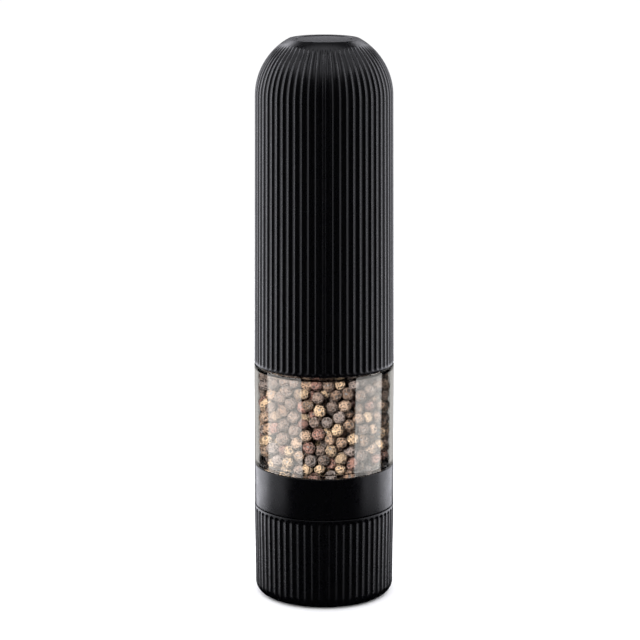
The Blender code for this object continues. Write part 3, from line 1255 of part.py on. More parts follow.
def build_button_guide(frame):
    """The cup under the dome that keeps the button in, and the spring that lifts the button."""
    profile = [
        (GUIDE_RADIUS, GUIDE_TOP),
        (GUIDE_RADIUS, GUIDE_BOTTOM),
        (BUTTON_STEM_RADIUS + GAP, GUIDE_BOTTOM),
        (BUTTON_STEM_RADIUS + GAP, GUIDE_FLOOR_TOP),
        (GUIDE_BORE_RADIUS, GUIDE_FLOOR_TOP),
        (GUIDE_BORE_RADIUS, GUIDE_TOP),
    ]
    add_piece("button_guide", turned_mesh("button_guide", profile, True), BLACK_PLASTIC, frame)
    points = coil_points(
        GUIDE_FLOOR_TOP + GAP,
        BUTTON_FLANGE_BOTTOM - GAP,
        BUTTON_SPRING_RADIUS,
        BUTTON_SPRING_RADIUS,
        BUTTON_SPRING_WIRE,
        BUTTON_SPRING_TURNS,
    )
    add_piece("button_spring", wire_mesh("button_spring", points, BUTTON_SPRING_WIRE), STEEL, frame)


def build_push_button(frame):
    """The round button, nearly flush with the casing's top, on a flange and a stem."""
    profile = [
        (0.0, BUTTON_TOP),
        (BUTTON_RADIUS - BUTTON_EDGE, BUTTON_TOP),
        (BUTTON_RADIUS, BUTTON_TOP - BUTTON_EDGE),
        (BUTTON_RADIUS, BUTTON_FLANGE_TOP),
        (BUTTON_FLANGE_RADIUS, BUTTON_FLANGE_TOP),
        (BUTTON_FLANGE_RADIUS, BUTTON_FLANGE_BOTTOM),
        (BUTTON_STEM_RADIUS, BUTTON_FLANGE_BOTTOM),
        (BUTTON_STEM_RADIUS, BUTTON_STEM_BOTTOM),
        (0.0, BUTTON_STEM_BOTTOM),
    ]
    add_piece("push_button", turned_mesh("push_button", profile, False), BLACK_PLASTIC, frame)


clear_scene()
PARTS = make_collection(COLLECTION_NAME)
CUTTERS = make_collection(CUTTER_COLLECTION_NAME, hidden=True)

BLACK_PLASTIC = make_material("black_plastic", (0.018, 0.018, 0.022), 0.38)
GREY_PLASTIC = make_material("grey_plastic", (0.22, 0.22, 0.23), 0.5)
GEAR_PLASTIC = make_material("gear_plastic", (0.85, 0.84, 0.8), 0.4)
CLEAR_PLASTIC = make_material("clear_plastic", (0.96, 0.97, 0.97), 0.02, transmission=1.0)
PEPPERCORN = make_material("peppercorn", (0.12, 0.06, 0.035), 0.7)
CERAMIC = make_material("ceramic", (0.86, 0.85, 0.8), 0.35)
STEEL = make_material("steel", (0.62, 0.62, 0.63), 0.3, metallic=1.0)
BRASS = make_material("brass", (0.78, 0.6, 0.3), 0.3, metallic=1.0)
COPPER = make_material("copper_winding", (0.6, 0.26, 0.12), 0.4, metallic=1.0)
MAGNET = make_material("magnet", (0.06, 0.06, 0.065), 0.55)
CELL_WRAP = make_material("cell_wrap", (0.07, 0.2, 0.12), 0.35)
RED_WIRE = make_material("red_wire", (0.55, 0.03, 0.03), 0.45)
BLACK_WIRE = make_material("black_wire", (0.02, 0.02, 0.02), 0.45)

BASE = make_frame("base_frame")
CHAMBER = make_frame("chamber_frame", BASE, (0.0, 0.0, BAND_BOTTOM))
DRIVE = make_frame("drive_frame", CHAMBER, (0.0, 0.0, BRIDGE_BOTTOM))
ADJUSTER = make_frame("adjuster_frame", DRIVE, (0.0, 0.0, KNOB_BOTTOM))
POWER_UNIT = make_frame("power_unit_frame", CHAMBER, (0.0, 0.0, DECK_BOTTOM))
CARRIER = make_frame("carrier_frame", POWER_UNIT, (0.0, 0.0, CARRIER_BOTTOM))
PLANET_FRAMES = [
    make_frame(f"planet_frame_{i + 1}", CARRIER, (*place, GEAR_BOTTOM))
    for i, place in enumerate(planet_places())
]
ROTOR = make_frame("rotor_frame", POWER_UNIT, (0.0, 0.0, MOTOR_BOTTOM))
PLUNGER = make_frame("plunger_frame", POWER_UNIT, (0.0, 0.0, SWITCH_TOP))
CASING = make_frame("casing_frame", POWER_UNIT, (0.0, 0.0, CASING_BOTTOM))
BUTTON = make_frame("button_frame", CASING, (0.0, 0.0, BUTTON_TOP))

build_base_cap(BASE)
build_grinder_collar(CHAMBER)
build_chamber_tube(CHAMBER)
build_peppercorn_fill(CHAMBER)
build_shaft_bridge(CHAMBER)
build_burr_housing(CHAMBER)
build_outer_burr(CHAMBER)
build_inner_burr(DRIVE)
build_drive_shaft(DRIVE)
build_burr_spring(DRIVE)
build_adjust_knob(ADJUSTER)
build_motor_deck(POWER_UNIT)
build_gear_housing(POWER_UNIT)
build_gear_lid(POWER_UNIT)
build_ring_gear(POWER_UNIT)
build_planet_carrier(CARRIER)
build_planets(PLANET_FRAMES)
build_rotor(ROTOR)
build_motor(POWER_UNIT)
build_motor_sleeve(POWER_UNIT)
build_tie_bolts(POWER_UNIT)
build_battery_tray(POWER_UNIT)
build_cells(POWER_UNIT)
build_contacts(POWER_UNIT)
build_leads(POWER_UNIT)
build_switch(POWER_UNIT, PLUNGER)
build_top_casing(CASING)
build_button_guide(CASING)
build_push_button(BUTTON)
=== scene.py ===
"""Looks of the battery pepper mill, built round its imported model.

Everything is in metres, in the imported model's own frame: +Z is up, -Y is the mill's front, and the
origin is the centre of the base cap's flat underside. The shells that show are worked out afresh as
fine surfaces, the peppercorns are packed into the clear chamber, and the inner works keep their
modelled shapes with softened edges.
"""

import json
import math

import bmesh
import bpy
import numpy as np
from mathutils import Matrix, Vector


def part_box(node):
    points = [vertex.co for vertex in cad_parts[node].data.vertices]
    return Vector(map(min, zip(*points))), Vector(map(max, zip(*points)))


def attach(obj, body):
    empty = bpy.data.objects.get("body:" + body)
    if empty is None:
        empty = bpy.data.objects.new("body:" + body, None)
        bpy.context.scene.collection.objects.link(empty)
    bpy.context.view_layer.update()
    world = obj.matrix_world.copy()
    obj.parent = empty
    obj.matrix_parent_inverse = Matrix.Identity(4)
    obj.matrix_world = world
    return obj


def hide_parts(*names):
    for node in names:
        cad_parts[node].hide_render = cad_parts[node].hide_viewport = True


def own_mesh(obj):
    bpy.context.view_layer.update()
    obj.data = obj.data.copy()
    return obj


MM = 0.001

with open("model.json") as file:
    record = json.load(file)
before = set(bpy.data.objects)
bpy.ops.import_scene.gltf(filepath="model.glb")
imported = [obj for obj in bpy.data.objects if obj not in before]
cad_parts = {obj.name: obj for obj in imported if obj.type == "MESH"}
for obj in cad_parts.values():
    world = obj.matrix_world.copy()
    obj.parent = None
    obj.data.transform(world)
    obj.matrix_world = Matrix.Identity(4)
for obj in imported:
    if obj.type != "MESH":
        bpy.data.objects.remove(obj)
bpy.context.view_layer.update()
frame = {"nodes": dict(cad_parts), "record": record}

# Flutes of the casing and the base cap
FLUTES = 60
COLUMNS_PER_FLUTE = 12
FLUTE_DEPTH = 0.50 * MM
FLUTE_SHARE = 0.86
CASING_FLUTE_PHASE = 0.5
CAP_FLUTE_PHASE = 0.0

# Casing
CASING_WALL = 2.1 * MM
CASING_SHOULDER_RADIUS = 26.6 * MM
CASING_EDGE_FILLET = 0.9 * MM
CASING_PLAIN_RIM = 1.5 * MM
DOME_RADIUS = 25.0 * MM
DOME_RISE = 22.0 * MM
DOME_EDGE_FILLET = 0.35 * MM
DOME_EDGE_TURN = 0.02  # radians that the dome stops short of the flat top's fillet
DOME_FLUTE_END = math.radians(43.0)
DOME_FLUTE_FADE = 5.0 * MM
BUTTON_HOLE_RADIUS = 10.7 * MM
BUTTON_HOLE_FILLET = 0.25 * MM
CASING_BORE_RIM_RADIUS = 25.6 * MM
CASING_FINE_LENGTH = 7.0 * MM
CASING_EDGE_ROWS = 6
CASING_FINE_ROWS = 30
CASING_WALL_ROWS = 12
DOME_ROWS = 52
CASING_BORE_ROWS = 16

# Base cap
CAP_FOOT_RADIUS = 27.2 * MM
CAP_FOOT_FILLET = 4.2 * MM
CAP_BORE_RADIUS = 25.44 * MM
CAP_FLOOR = 2.4 * MM
CAP_RIM_FILLET = 0.3 * MM
CAP_PLAIN_RIM = 0.5 * MM
CAP_FINE_LENGTH = 6.0 * MM
CAP_FILLET_ROWS = 24
CAP_LOW_ROWS = 8
CAP_MIDDLE_ROWS = 6
CAP_FINE_ROWS = 28
CAP_FLUTE_LOW = 1.2 * MM
CAP_FLUTE_FADE = 2.5 * MM
FLUTE_HALF_WIDTH = FLUTE_SHARE * math.pi * CAP_FOOT_RADIUS / FLUTES

# Gaps and eased edges of the turned pieces
PIECE_GAP = 0.3 * MM
CREASE = 0.1 * MM
FINE_EDGE = 0.2 * MM
MOULD_EDGE = 0.3 * MM
SOFT_EDGE = 0.35 * MM

# Collar
COLLAR_SPIGOT_RADIUS = 25.14 * MM
COLLAR_SPIGOT_BORE_RADIUS = 23.44 * MM
WEB_LOW = 39.6 * MM
WEB_HIGH = 42.4 * MM
FEED_HOLE_RADIUS = 15.3 * MM
HOPPER_RADIUS = 24.4 * MM
TUBE_LEDGE_HEIGHT = 46.4 * MM
TUBE_SEAT_RADIUS = 25.6 * MM

# Chamber tube
TUBE_WALL = 1.1 * MM
TUBE_SPIGOT_RADIUS = 25.3 * MM
TUBE_SPIGOT_BORE_RADIUS = 23.9 * MM
WINDOW_BORE_FILLET = 0.4 * MM

# Button
BUTTON_RADIUS = 10.4 * MM
BUTTON_DISH = 0.15 * MM
BUTTON_DISH_SHARE = 0.93
BUTTON_DISH_ROWS = 16
BUTTON_FACE_THICKNESS = 2.2 * MM
BUTTON_FLANGE_THICKNESS = 1.8 * MM
BUTTON_STEM_RADIUS = 3.0 * MM

# Peppercorns
CORN_COUNT = 860
CORN_SIZES = (4.5 * MM, 5.5 * MM)
CORN_ROWS = 8
CORN_COLUMNS = 10
CORN_SEED = 7
CORN_CORE_RADIUS = 5.5 * MM
CORN_FLATNESS = (0.90, 1.0)
CORN_SHADES = (0.7, 1.5)
WRINKLE_WARP = 1.2 * MM
PACKING_ROUNDS = 90
PACKING_PUSH = 0.35
CORN_TINTS = (
    (0.220, 0.135, 0.090),
    (0.300, 0.195, 0.130),
    (0.360, 0.245, 0.170),
    (0.500, 0.350, 0.220),
    (0.260, 0.130, 0.100),
    (0.230, 0.180, 0.160),
    (0.180, 0.125, 0.100),
)

# Inner works
EASED_EDGE = 0.12 * MM
FLAT_ANGLE = math.radians(1.0)
SHELL_NODES = {"top_casing", "base_cap", "grinder_collar", "chamber_tube", "push_button", "peppercorn_fill"}

# Turned pieces
ROUND_COLUMNS = 192
EDGE_STEPS = 4
SHARP_ANGLE = math.radians(40.0)
WELD = 0.0005 * MM


# --- surfaces -------------------------------------------------------------------------------------


def add_surface(name, grid, finish, body, replaced=(), closed_along=False):
    """A piece from a grid of points, rows along the shape by columns around it.

    Each point is joined to the next in its row and in the next row. The last column joins the first,
    and the last row joins the first where the shape is closed along its length.
    """
    rows, columns = grid.shape[:2]
    index = np.arange(rows * columns).reshape(rows, columns)
    here = index if closed_along else index[:-1]
    above = np.roll(index, -1, axis=0) if closed_along else index[1:]
    corners = (here, np.roll(here, -1, axis=1), np.roll(above, -1, axis=1), above)
    quads = np.stack(corners, axis=-1).reshape(-1, 4)
    mesh = mesh_from(name, grid.reshape(-1, 3), quads)
    return add_piece(name, mesh, finish, body, replaced)


def mesh_from(name, points, quads):
    """A mesh whose coincident points are merged, which closes its poles, with its faces outwards."""
    mesh = bpy.data.meshes.new(name)
    mesh.from_pydata(points.tolist(), [], quads.tolist())
    shape = bmesh.new()
    shape.from_mesh(mesh)
    bmesh.ops.remove_doubles(shape, verts=shape.verts, dist=WELD)
    bmesh.ops.recalc_face_normals(shape, faces=shape.faces)
    shape.to_mesh(mesh)
    shape.free()
    mesh.shade_smooth()
    mesh.set_sharp_from_angle(angle=SHARP_ANGLE)
    return mesh


def add_piece(name, mesh, finish, body, replaced=()):
    """Puts a finished mesh in the scene, on its body and in its finish."""
    piece = bpy.data.objects.new(name, mesh)
    bpy.context.scene.collection.objects.link(piece)
    mesh.materials.clear()
    mesh.materials.append(FINISHES[finish])
    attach(piece, body)
    if replaced:
        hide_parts(*replaced)
    return piece


def rounded(corners, closed=False):
    """A profile of (radius, height) through corners given as (radius, height, fillet).

    Each corner is turned by a quadratic curve, which leaves the straight run one fillet before it
    and joins the next run one fillet after it.
    """
    data = np.array(corners, float)
    count = len(data)
    share = np.linspace(0.0, 1.0, EDGE_STEPS + 1)[:, None]
    points = []
    for i in range(count):
        corner, fillet = data[i, :2], data[i, 2]
        if fillet == 0.0 or (not closed and i in (0, count - 1)):
            points.append(corner[None])
            continue
        before = data[i - 1, :2] - corner
        after = data[(i + 1) % count, :2] - corner
        start = corner + before / np.linalg.norm(before) * fillet
        end = corner + after / np.linalg.norm(after) * fillet
        points.append((1 - share) ** 2 * start + 2 * share * (1 - share) * corner + share**2 * end)
    return np.concatenate(points)


def turned_grid(profile):
    """x = r cos a, y = r sin a, z = h, for each (r, h) of a profile and each angle a."""
    angle = np.arange(ROUND_COLUMNS) * 2 * np.pi / ROUND_COLUMNS
    radius, height = profile[:, :1], profile[:, 1:]
    return np.stack([radius * np.cos(angle), radius * np.sin(angle), height + 0 * angle], axis=-1)


def fluted_grid(profile, flute_rows, phase, start, end, start_reach, end_reach):
    """A turned surface with flutes pressed into its first flute_rows rows.

    A flute is a slot on the unrolled surface, pitch wide by its share, from start to end along the
    profile. Its depth is FLUTE_DEPTH (1 - across^2 - past^2), where across is the distance from the
    slot's middle over its half width, and past the distance beyond its end over that end's reach.
    The depth is measured along the profile's own inward normal.
    """
    columns = FLUTES * COLUMNS_PER_FLUTE
    angle = np.arange(columns) * 2 * np.pi / columns
    pitches = angle / (2 * np.pi / FLUTES) + phase
    across = np.abs(pitches - np.round(pitches)) * 2 / FLUTE_SHARE
    steps = np.linalg.norm(np.diff(profile, axis=0), axis=1)
    along = np.concatenate([[0.0], np.cumsum(steps)])
    before_start = np.maximum(0.0, (start - along) / start_reach)
    past_end = np.maximum(0.0, (along - end) / end_reach)
    past = before_start + past_end
    depth = FLUTE_DEPTH * np.maximum(0.0, 1 - across[None, :] ** 2 - past[:, None] ** 2)
    depth[flute_rows:] = 0.0
    run = np.gradient(profile, axis=0)
    run /= np.linalg.norm(run, axis=1)[:, None]
    radius = profile[:, :1] - depth * run[:, 1:]
    height = profile[:, 1:] + depth * run[:, :1]
    return np.stack([radius * np.cos(angle), radius * np.sin(angle), height], axis=-1)


def arc_profile(centre, radius, start, end, steps):
    """Points (r, h) of a circle's arc from one angle to another."""
    angle = np.linspace(start, end, steps + 1)
    return np.stack([centre[0] + radius * np.cos(angle), centre[1] + radius * np.sin(angle)], axis=-1)


def straight(start, end, steps):
    """Points evenly from one (r, h) to another, without the first."""
    share = np.linspace(0.0, 1.0, steps + 1)[1:, None]
    return np.array(start) * (1 - share) + np.array(end) * share


def rim_of(node):
    """(radius, lowest height, highest height) of a turned node."""
    low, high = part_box(node)
    return (high[0] - low[0]) / 2, low[2], high[2]


# --- materials ------------------------------------------------------------------------------------


class Nodes:
    """A short way to place and join shader nodes in one tree."""

    def __init__(self, tree):
        self.tree = tree

    def add(self, kind, **settings):
        """Adds a node. Each setting is a property of the node, or else the value of an input."""
        node = self.tree.nodes.new(kind)
        for name, value in settings.items():
            if hasattr(node, name):
                setattr(node, name, value)
            else:
                node.inputs[name.replace("_", " ")].default_value = value
        return node

    def join(self, source, target):
        self.tree.links.new(source, target)


def new_group(name, inputs, outputs):
    """A shader node group with named number inputs and named outputs."""
    group = bpy.data.node_groups.new(name, "ShaderNodeTree")
    for socket, value in inputs.items():
        kind = "NodeSocketVector" if value is None else "NodeSocketFloat"
        made = group.interface.new_socket(socket, in_out="INPUT", socket_type=kind)
        if value is not None:
            made.default_value = value
    for socket in outputs:
        group.interface.new_socket(socket, in_out="OUTPUT", socket_type="NodeSocketFloat")
    nodes = Nodes(group)
    return group, nodes, nodes.add("NodeGroupInput"), nodes.add("NodeGroupOutput")


def make_grain_group():
    """Fine moulded or cast texture: small pits over a slow waviness, and a patchy gloss.

    Height is fine noise plus a little slow noise. Patches is slow noise, stretched to 0 to 1.
    """
    group, nodes, given, out = new_group(
        "surface_grain", {"Place": None, "Grains per Metre": 4000.0, "Waviness": 0.4}, ("Height", "Patches")
    )
    fine = nodes.add("ShaderNodeTexNoise", Detail=3.0, Roughness=0.6)
    slow = nodes.add("ShaderNodeTexNoise", Detail=4.0, Roughness=0.55)
    slow_scale = nodes.add("ShaderNodeMath", operation="MULTIPLY")
    slow_scale.inputs[1].default_value = 0.04
    nodes.join(given.outputs["Place"], fine.inputs["Vector"])
    nodes.join(given.outputs["Place"], slow.inputs["Vector"])
    nodes.join(given.outputs["Grains per Metre"], fine.inputs["Scale"])
    nodes.join(given.outputs["Grains per Metre"], slow_scale.inputs[0])
    nodes.join(slow_scale.outputs[0], slow.inputs["Scale"])
    height = nodes.add("ShaderNodeMath", operation="MULTIPLY_ADD")
    nodes.join(slow.outputs["Fac"], height.inputs[0])
    nodes.join(given.outputs["Waviness"], height.inputs[1])
    nodes.join(fine.outputs["Fac"], height.inputs[2])
    patches = nodes.add("ShaderNodeMapRange")
    patches.inputs["From Min"].default_value = 0.35
    patches.inputs["From Max"].default_value = 0.65
    nodes.join(slow.outputs["Fac"], patches.inputs["Value"])
    nodes.join(height.outputs[0], out.inputs["Height"])
    nodes.join(patches.outputs["Result"], out.inputs["Patches"])
    return group


def make_scuff_group():
    """Fine rubbed marks: thin lines of stretched noise, kept only where slow noise is high."""
    group, nodes, given, out = new_group(
        "handling_scuffs", {"Place": None, "Marks per Metre": 900.0, "Amount": 0.5}, ("Scuffs",)
    )
    stretch = nodes.add("ShaderNodeVectorMath", operation="MULTIPLY")
    stretch.inputs[1].default_value = (1.0, 1.0, 0.12)
    nodes.join(given.outputs["Place"], stretch.inputs[0])
    marks = nodes.add("ShaderNodeTexNoise", Detail=5.0, Roughness=0.7)
    nodes.join(stretch.outputs[0], marks.inputs["Vector"])
    nodes.join(given.outputs["Marks per Metre"], marks.inputs["Scale"])
    area = nodes.add("ShaderNodeTexNoise", Scale=60.0, Detail=2.0)
    nodes.join(given.outputs["Place"], area.inputs["Vector"])
    both = nodes.add("ShaderNodeMath", operation="MULTIPLY")
    nodes.join(marks.outputs["Fac"], both.inputs[0])
    nodes.join(area.outputs["Fac"], both.inputs[1])
    keep = nodes.add("ShaderNodeMapRange")
    keep.inputs["From Min"].default_value = 0.27
    keep.inputs["From Max"].default_value = 0.42
    nodes.join(both.outputs[0], keep.inputs["Value"])
    amount = nodes.add("ShaderNodeMath", operation="MULTIPLY")
    nodes.join(keep.outputs["Result"], amount.inputs[0])
    nodes.join(given.outputs["Amount"], amount.inputs[1])
    nodes.join(amount.outputs[0], out.inputs["Scuffs"])
    return group


def new_material(name):
    """A material with its nodes' helper and its Principled shader."""
    material = bpy.data.materials.new(name)
    material.use_nodes = True
    nodes = Nodes(material.node_tree)
    shader = material.node_tree.nodes["Principled BSDF"]
    return material, nodes, shader


def placed_group(nodes, group, place, **values):
    """A shared group placed in a material, with its own values."""
    node = nodes.add("ShaderNodeGroup")
    node.node_tree = group
    for name, value in values.items():
        node.inputs[name.replace("_", " ")].default_value = value
    nodes.join(place, node.inputs["Place"])
    return node


def object_place(nodes):
    """The place on the piece, in the model's own frame, that the patterns are laid out on."""
    return nodes.add("ShaderNodeTexCoord").outputs["Object"]


def mixed_colour(nodes, factor, low, high):
    """A colour that goes from low to high as the factor goes from 0 to 1."""
    ramp = nodes.add("ShaderNodeValToRGB")
    ramp.color_ramp.elements[0].color = (*low, 1.0)
    ramp.color_ramp.elements[1].color = (*high, 1.0)
    nodes.join(factor, ramp.inputs["Fac"])
    return ramp.outputs["Color"]


def ranged(nodes, factor, low, high):
    """A number that goes from low to high as the factor goes from 0 to 1."""
    spread = nodes.add("ShaderNodeMapRange")
    spread.inputs["To Min"].default_value = low
    spread.inputs["To Max"].default_value = high
    nodes.join(factor, spread.inputs["Value"])
    return spread.outputs["Result"]


def bump(nodes, shader, height, depth):
    """Turns the shader's normal by a height pattern that stands depth proud."""
    node = nodes.add("ShaderNodeBump")
    node.inputs["Distance"].default_value = depth
    nodes.join(height, node.inputs["Height"])
    nodes.join(node.outputs["Normal"], shader.inputs["Normal"])


def moulded(name, colour, worn, rough, grains, depth, scuffs, metallic=0.0, coat=0.0):
    """A moulded, cast or drawn finish: colour and roughness vary with patches and scuffs."""
    material, nodes, shader = new_material(name)
    place = object_place(nodes)
    grain = placed_group(nodes, GRAIN, place, Grains_per_Metre=grains)
    rubbed = placed_group(nodes, SCUFFS, place, Amount=scuffs)
    nodes.join(mixed_colour(nodes, rubbed.outputs["Scuffs"], colour, worn), shader.inputs["Base Color"])
    nodes.join(ranged(nodes, grain.outputs["Patches"], *rough), shader.inputs["Roughness"])
    bump(nodes, shader, grain.outputs["Height"], depth)
    shader.inputs["Metallic"].default_value = metallic
    shader.inputs["Coat Weight"].default_value = coat
    return material


def make_clear_plastic():
    """Clear moulded acrylic: smooth, with the faintest waviness, and it throws no shadow."""
    material, nodes, shader = new_material("clear_acrylic")
    place = object_place(nodes)
    grain = placed_group(nodes, GRAIN, place, Grains_per_Metre=900.0)
    nodes.join(ranged(nodes, grain.outputs["Patches"], 0.0, 0.03), shader.inputs["Roughness"])
    bump(nodes, shader, grain.outputs["Height"], 0.002 * MM)
    shader.inputs["Transmission Weight"].default_value = 1.0
    shader.inputs["IOR"].default_value = 1.49
    shader.inputs["Base Color"].default_value = (0.99, 0.99, 0.985, 1.0)
    clear = nodes.add("ShaderNodeBsdfTransparent")
    mixed = nodes.add("ShaderNodeMixShader")
    nodes.join(nodes.add("ShaderNodeLightPath").outputs["Is Shadow Ray"], mixed.inputs["Fac"])
    nodes.join(shader.outputs["BSDF"], mixed.inputs[1])
    nodes.join(clear.outputs["BSDF"], mixed.inputs[2])
    nodes.join(mixed.outputs["Shader"], material.node_tree.nodes["Material Output"].inputs["Surface"])
    return material


def make_peppercorn():
    """Dried berries: each its own brown, pale tan on the net of wrinkles, with painted shade near black in
    the pits.

    The wrinkles stand highest on the cell edges of a warped cell pattern.
    """
    material, nodes, shader = new_material("dried_peppercorn")
    place = object_place(nodes)
    warp = nodes.add("ShaderNodeTexNoise", Scale=700.0, Detail=2.0)
    nodes.join(place, warp.inputs["Vector"])
    shift = nodes.add("ShaderNodeVectorMath", operation="MULTIPLY_ADD")
    shift.inputs[1].default_value = (WRINKLE_WARP, WRINKLE_WARP, WRINKLE_WARP)
    nodes.join(warp.outputs["Color"], shift.inputs[0])
    nodes.join(place, shift.inputs[2])
    cells = nodes.add("ShaderNodeTexVoronoi", feature="DISTANCE_TO_EDGE", Scale=760.0)
    nodes.join(shift.outputs[0], cells.inputs["Vector"])
    creases = nodes.add("ShaderNodeMapRange")
    creases.inputs["From Min"].default_value = 0.02
    creases.inputs["From Max"].default_value = 0.26
    creases.inputs["To Min"].default_value = 1.0
    creases.inputs["To Max"].default_value = 0.06
    nodes.join(cells.outputs["Distance"], creases.inputs["Value"])
    fine = nodes.add("ShaderNodeTexNoise", Scale=2600.0, Detail=3.0)
    nodes.join(place, fine.inputs["Vector"])
    height = nodes.add("ShaderNodeMath", operation="MULTIPLY")
    nodes.join(fine.outputs["Fac"], height.inputs[0])
    nodes.join(creases.outputs["Result"], height.inputs[1])
    tint = nodes.add("ShaderNodeAttribute", attribute_name="corn_tint")
    # Painted shade: the colour falls to near black where the wrinkle height is low, in the pits between the
    # wrinkles.
    painted_pit_shade = nodes.add("ShaderNodeMix", data_type="RGBA")
    nodes.join(tint.outputs["Color"], painted_pit_shade.inputs[7])
    painted_pit_shade.inputs[6].default_value = (0.004, 0.002, 0.0015, 1.0)
    nodes.join(height.outputs[0], painted_pit_shade.inputs[0])
    nodes.join(painted_pit_shade.outputs[2], shader.inputs["Base Color"])
    nodes.join(ranged(nodes, fine.outputs["Fac"], 0.38, 0.68), shader.inputs["Roughness"])
    bump(nodes, shader, height.outputs[0], 0.9 * MM)
    return material


def make_copper_winding():
    """Enamelled copper wire wound in fine turns, with painted shade darkening the grooves between the turns.
    """
    material, nodes, shader = new_material("copper_winding")
    place = object_place(nodes)
    turns = nodes.add("ShaderNodeTexWave", Scale=420.0, Distortion=1.5, bands_direction="Z")
    nodes.join(place, turns.inputs["Vector"])
    # Painted shade: the colour goes dark where the wave is low, in the grooves between turns, and bright
    # copper on the turns.
    colour = mixed_colour(nodes, turns.outputs["Fac"], (0.16, 0.05, 0.02), (0.62, 0.27, 0.12))
    nodes.join(colour, shader.inputs["Base Color"])
    nodes.join(ranged(nodes, turns.outputs["Fac"], 0.45, 0.22), shader.inputs["Roughness"])
    bump(nodes, shader, turns.outputs["Fac"], 0.15 * MM)
    shader.inputs["Metallic"].default_value = 1.0
    return material


GRAIN = make_grain_group()
SCUFFS = make_scuff_group()
FINISHES = {
    "black_plastic": moulded(
        "satin_black",
        (0.0008, 0.0008, 0.0016),
        (0.0022, 0.0022, 0.0030),
        (0.24, 0.32),
        5200.0,
        0.006 * MM,
        0.35,
    ),
    "clear_plastic": make_clear_plastic(),
    "peppercorn": make_peppercorn(),
    "ceramic": moulded(
        "white_ceramic", (0.78, 0.76, 0.70), (0.60, 0.58, 0.52), (0.25, 0.40), 3000.0, 0.02 * MM, 0.3
    ),
    "steel": moulded(
        "drawn_steel", (0.56, 0.56, 0.57), (0.40, 0.40, 0.41), (0.18, 0.34), 6000.0, 0.004 * MM, 0.6, 1.0
    ),
    "grey_plastic": moulded(
        "grey_moulding", (0.22, 0.23, 0.24), (0.30, 0.31, 0.32), (0.42, 0.55), 4200.0, 0.012 * MM, 0.3
    ),
    "gear_plastic": moulded(
        "ivory_acetal", (0.72, 0.70, 0.62), (0.62, 0.60, 0.53), (0.30, 0.42), 4200.0, 0.008 * MM, 0.3
    ),
    "brass": moulded(
        "plated_contact", (0.70, 0.56, 0.30), (0.50, 0.40, 0.22), (0.22, 0.38), 5000.0, 0.004 * MM, 0.5, 1.0
    ),
    "copper_winding": make_copper_winding(),
    "magnet": moulded(
        "ferrite", (0.055, 0.055, 0.060), (0.12, 0.12, 0.12), (0.50, 0.65), 3500.0, 0.02 * MM, 0.4
    ),
    "cell_wrap": moulded(
        "cell_wrap", (0.05, 0.10, 0.17), (0.12, 0.16, 0.22), (0.18, 0.28), 2500.0, 0.004 * MM, 0.4, 0.0, 0.3
    ),
    "red_wire": moulded(
        "red_insulation", (0.42, 0.022, 0.018), (0.50, 0.08, 0.06), (0.35, 0.48), 4000.0, 0.006 * MM, 0.3
    ),
    "black_wire": moulded(
        "black_insulation", (0.012, 0.012, 0.013), (0.04, 0.04, 0.04), (0.35, 0.48), 4000.0, 0.006 * MM, 0.3
    ),
}


# --- shells ---------------------------------------------------------------------------------------


def build_casing():
    """The fluted casing: straight wall, dome, flat top with the button's hole, and the bore inside."""
    rim, low, top = rim_of("top_casing")
    shoulder = top - DOME_RISE
    dome_centre = (CASING_SHOULDER_RADIUS - DOME_RADIUS, shoulder)
    flat_angle = math.asin(DOME_RISE / DOME_RADIUS)
    edge = CASING_EDGE_FILLET

    def wall_at(height):
        share = (height - low) / (shoulder - low)
        return (rim + (CASING_SHOULDER_RADIUS - rim) * share, height)

    fine_top = low + CASING_FINE_LENGTH
    lower_edge = arc_profile((rim - edge, low + edge), edge, -np.pi / 2, 0.0, CASING_EDGE_ROWS)
    fine_wall = straight(wall_at(low + edge), wall_at(fine_top), CASING_FINE_ROWS)
    plain_wall = straight(wall_at(fine_top), wall_at(shoulder), CASING_WALL_ROWS)
    wall = np.concatenate([fine_wall, plain_wall])
    dome = arc_profile(dome_centre, DOME_RADIUS, 0.0, flat_angle - DOME_EDGE_TURN, DOME_ROWS)[1:]
    outer = np.concatenate([lower_edge, wall, dome])
    ceiling = top - CASING_WALL
    bore_radius = DOME_RADIUS - CASING_WALL
    bore_angle = math.asin((ceiling - shoulder) / bore_radius)
    lip = rounded(
        [
            (*dome[-1], 0.0),
            (DOME_RADIUS * math.cos(flat_angle) + dome_centre[0], top, DOME_EDGE_FILLET),
            (BUTTON_HOLE_RADIUS, top, BUTTON_HOLE_FILLET),
            (BUTTON_HOLE_RADIUS, ceiling, 0.0),
        ]
    )[1:]
    inner_dome = arc_profile(dome_centre, bore_radius, bore_angle, 0.0, CASING_BORE_ROWS)
    bore = np.array([(CASING_BORE_RIM_RADIUS, low)])
    profile = np.concatenate([outer, lip, inner_dome, bore])
    wall_length = shoulder - low
    start = CASING_PLAIN_RIM + FLUTE_HALF_WIDTH
    end = wall_length + DOME_RADIUS * DOME_FLUTE_END
    grid = fluted_grid(profile, len(outer), CASING_FLUTE_PHASE, start, end, FLUTE_HALF_WIDTH, DOME_FLUTE_FADE)
    add_surface("casing_shell", grid, "black_plastic", "casing", ("top_casing",), closed_along=True)


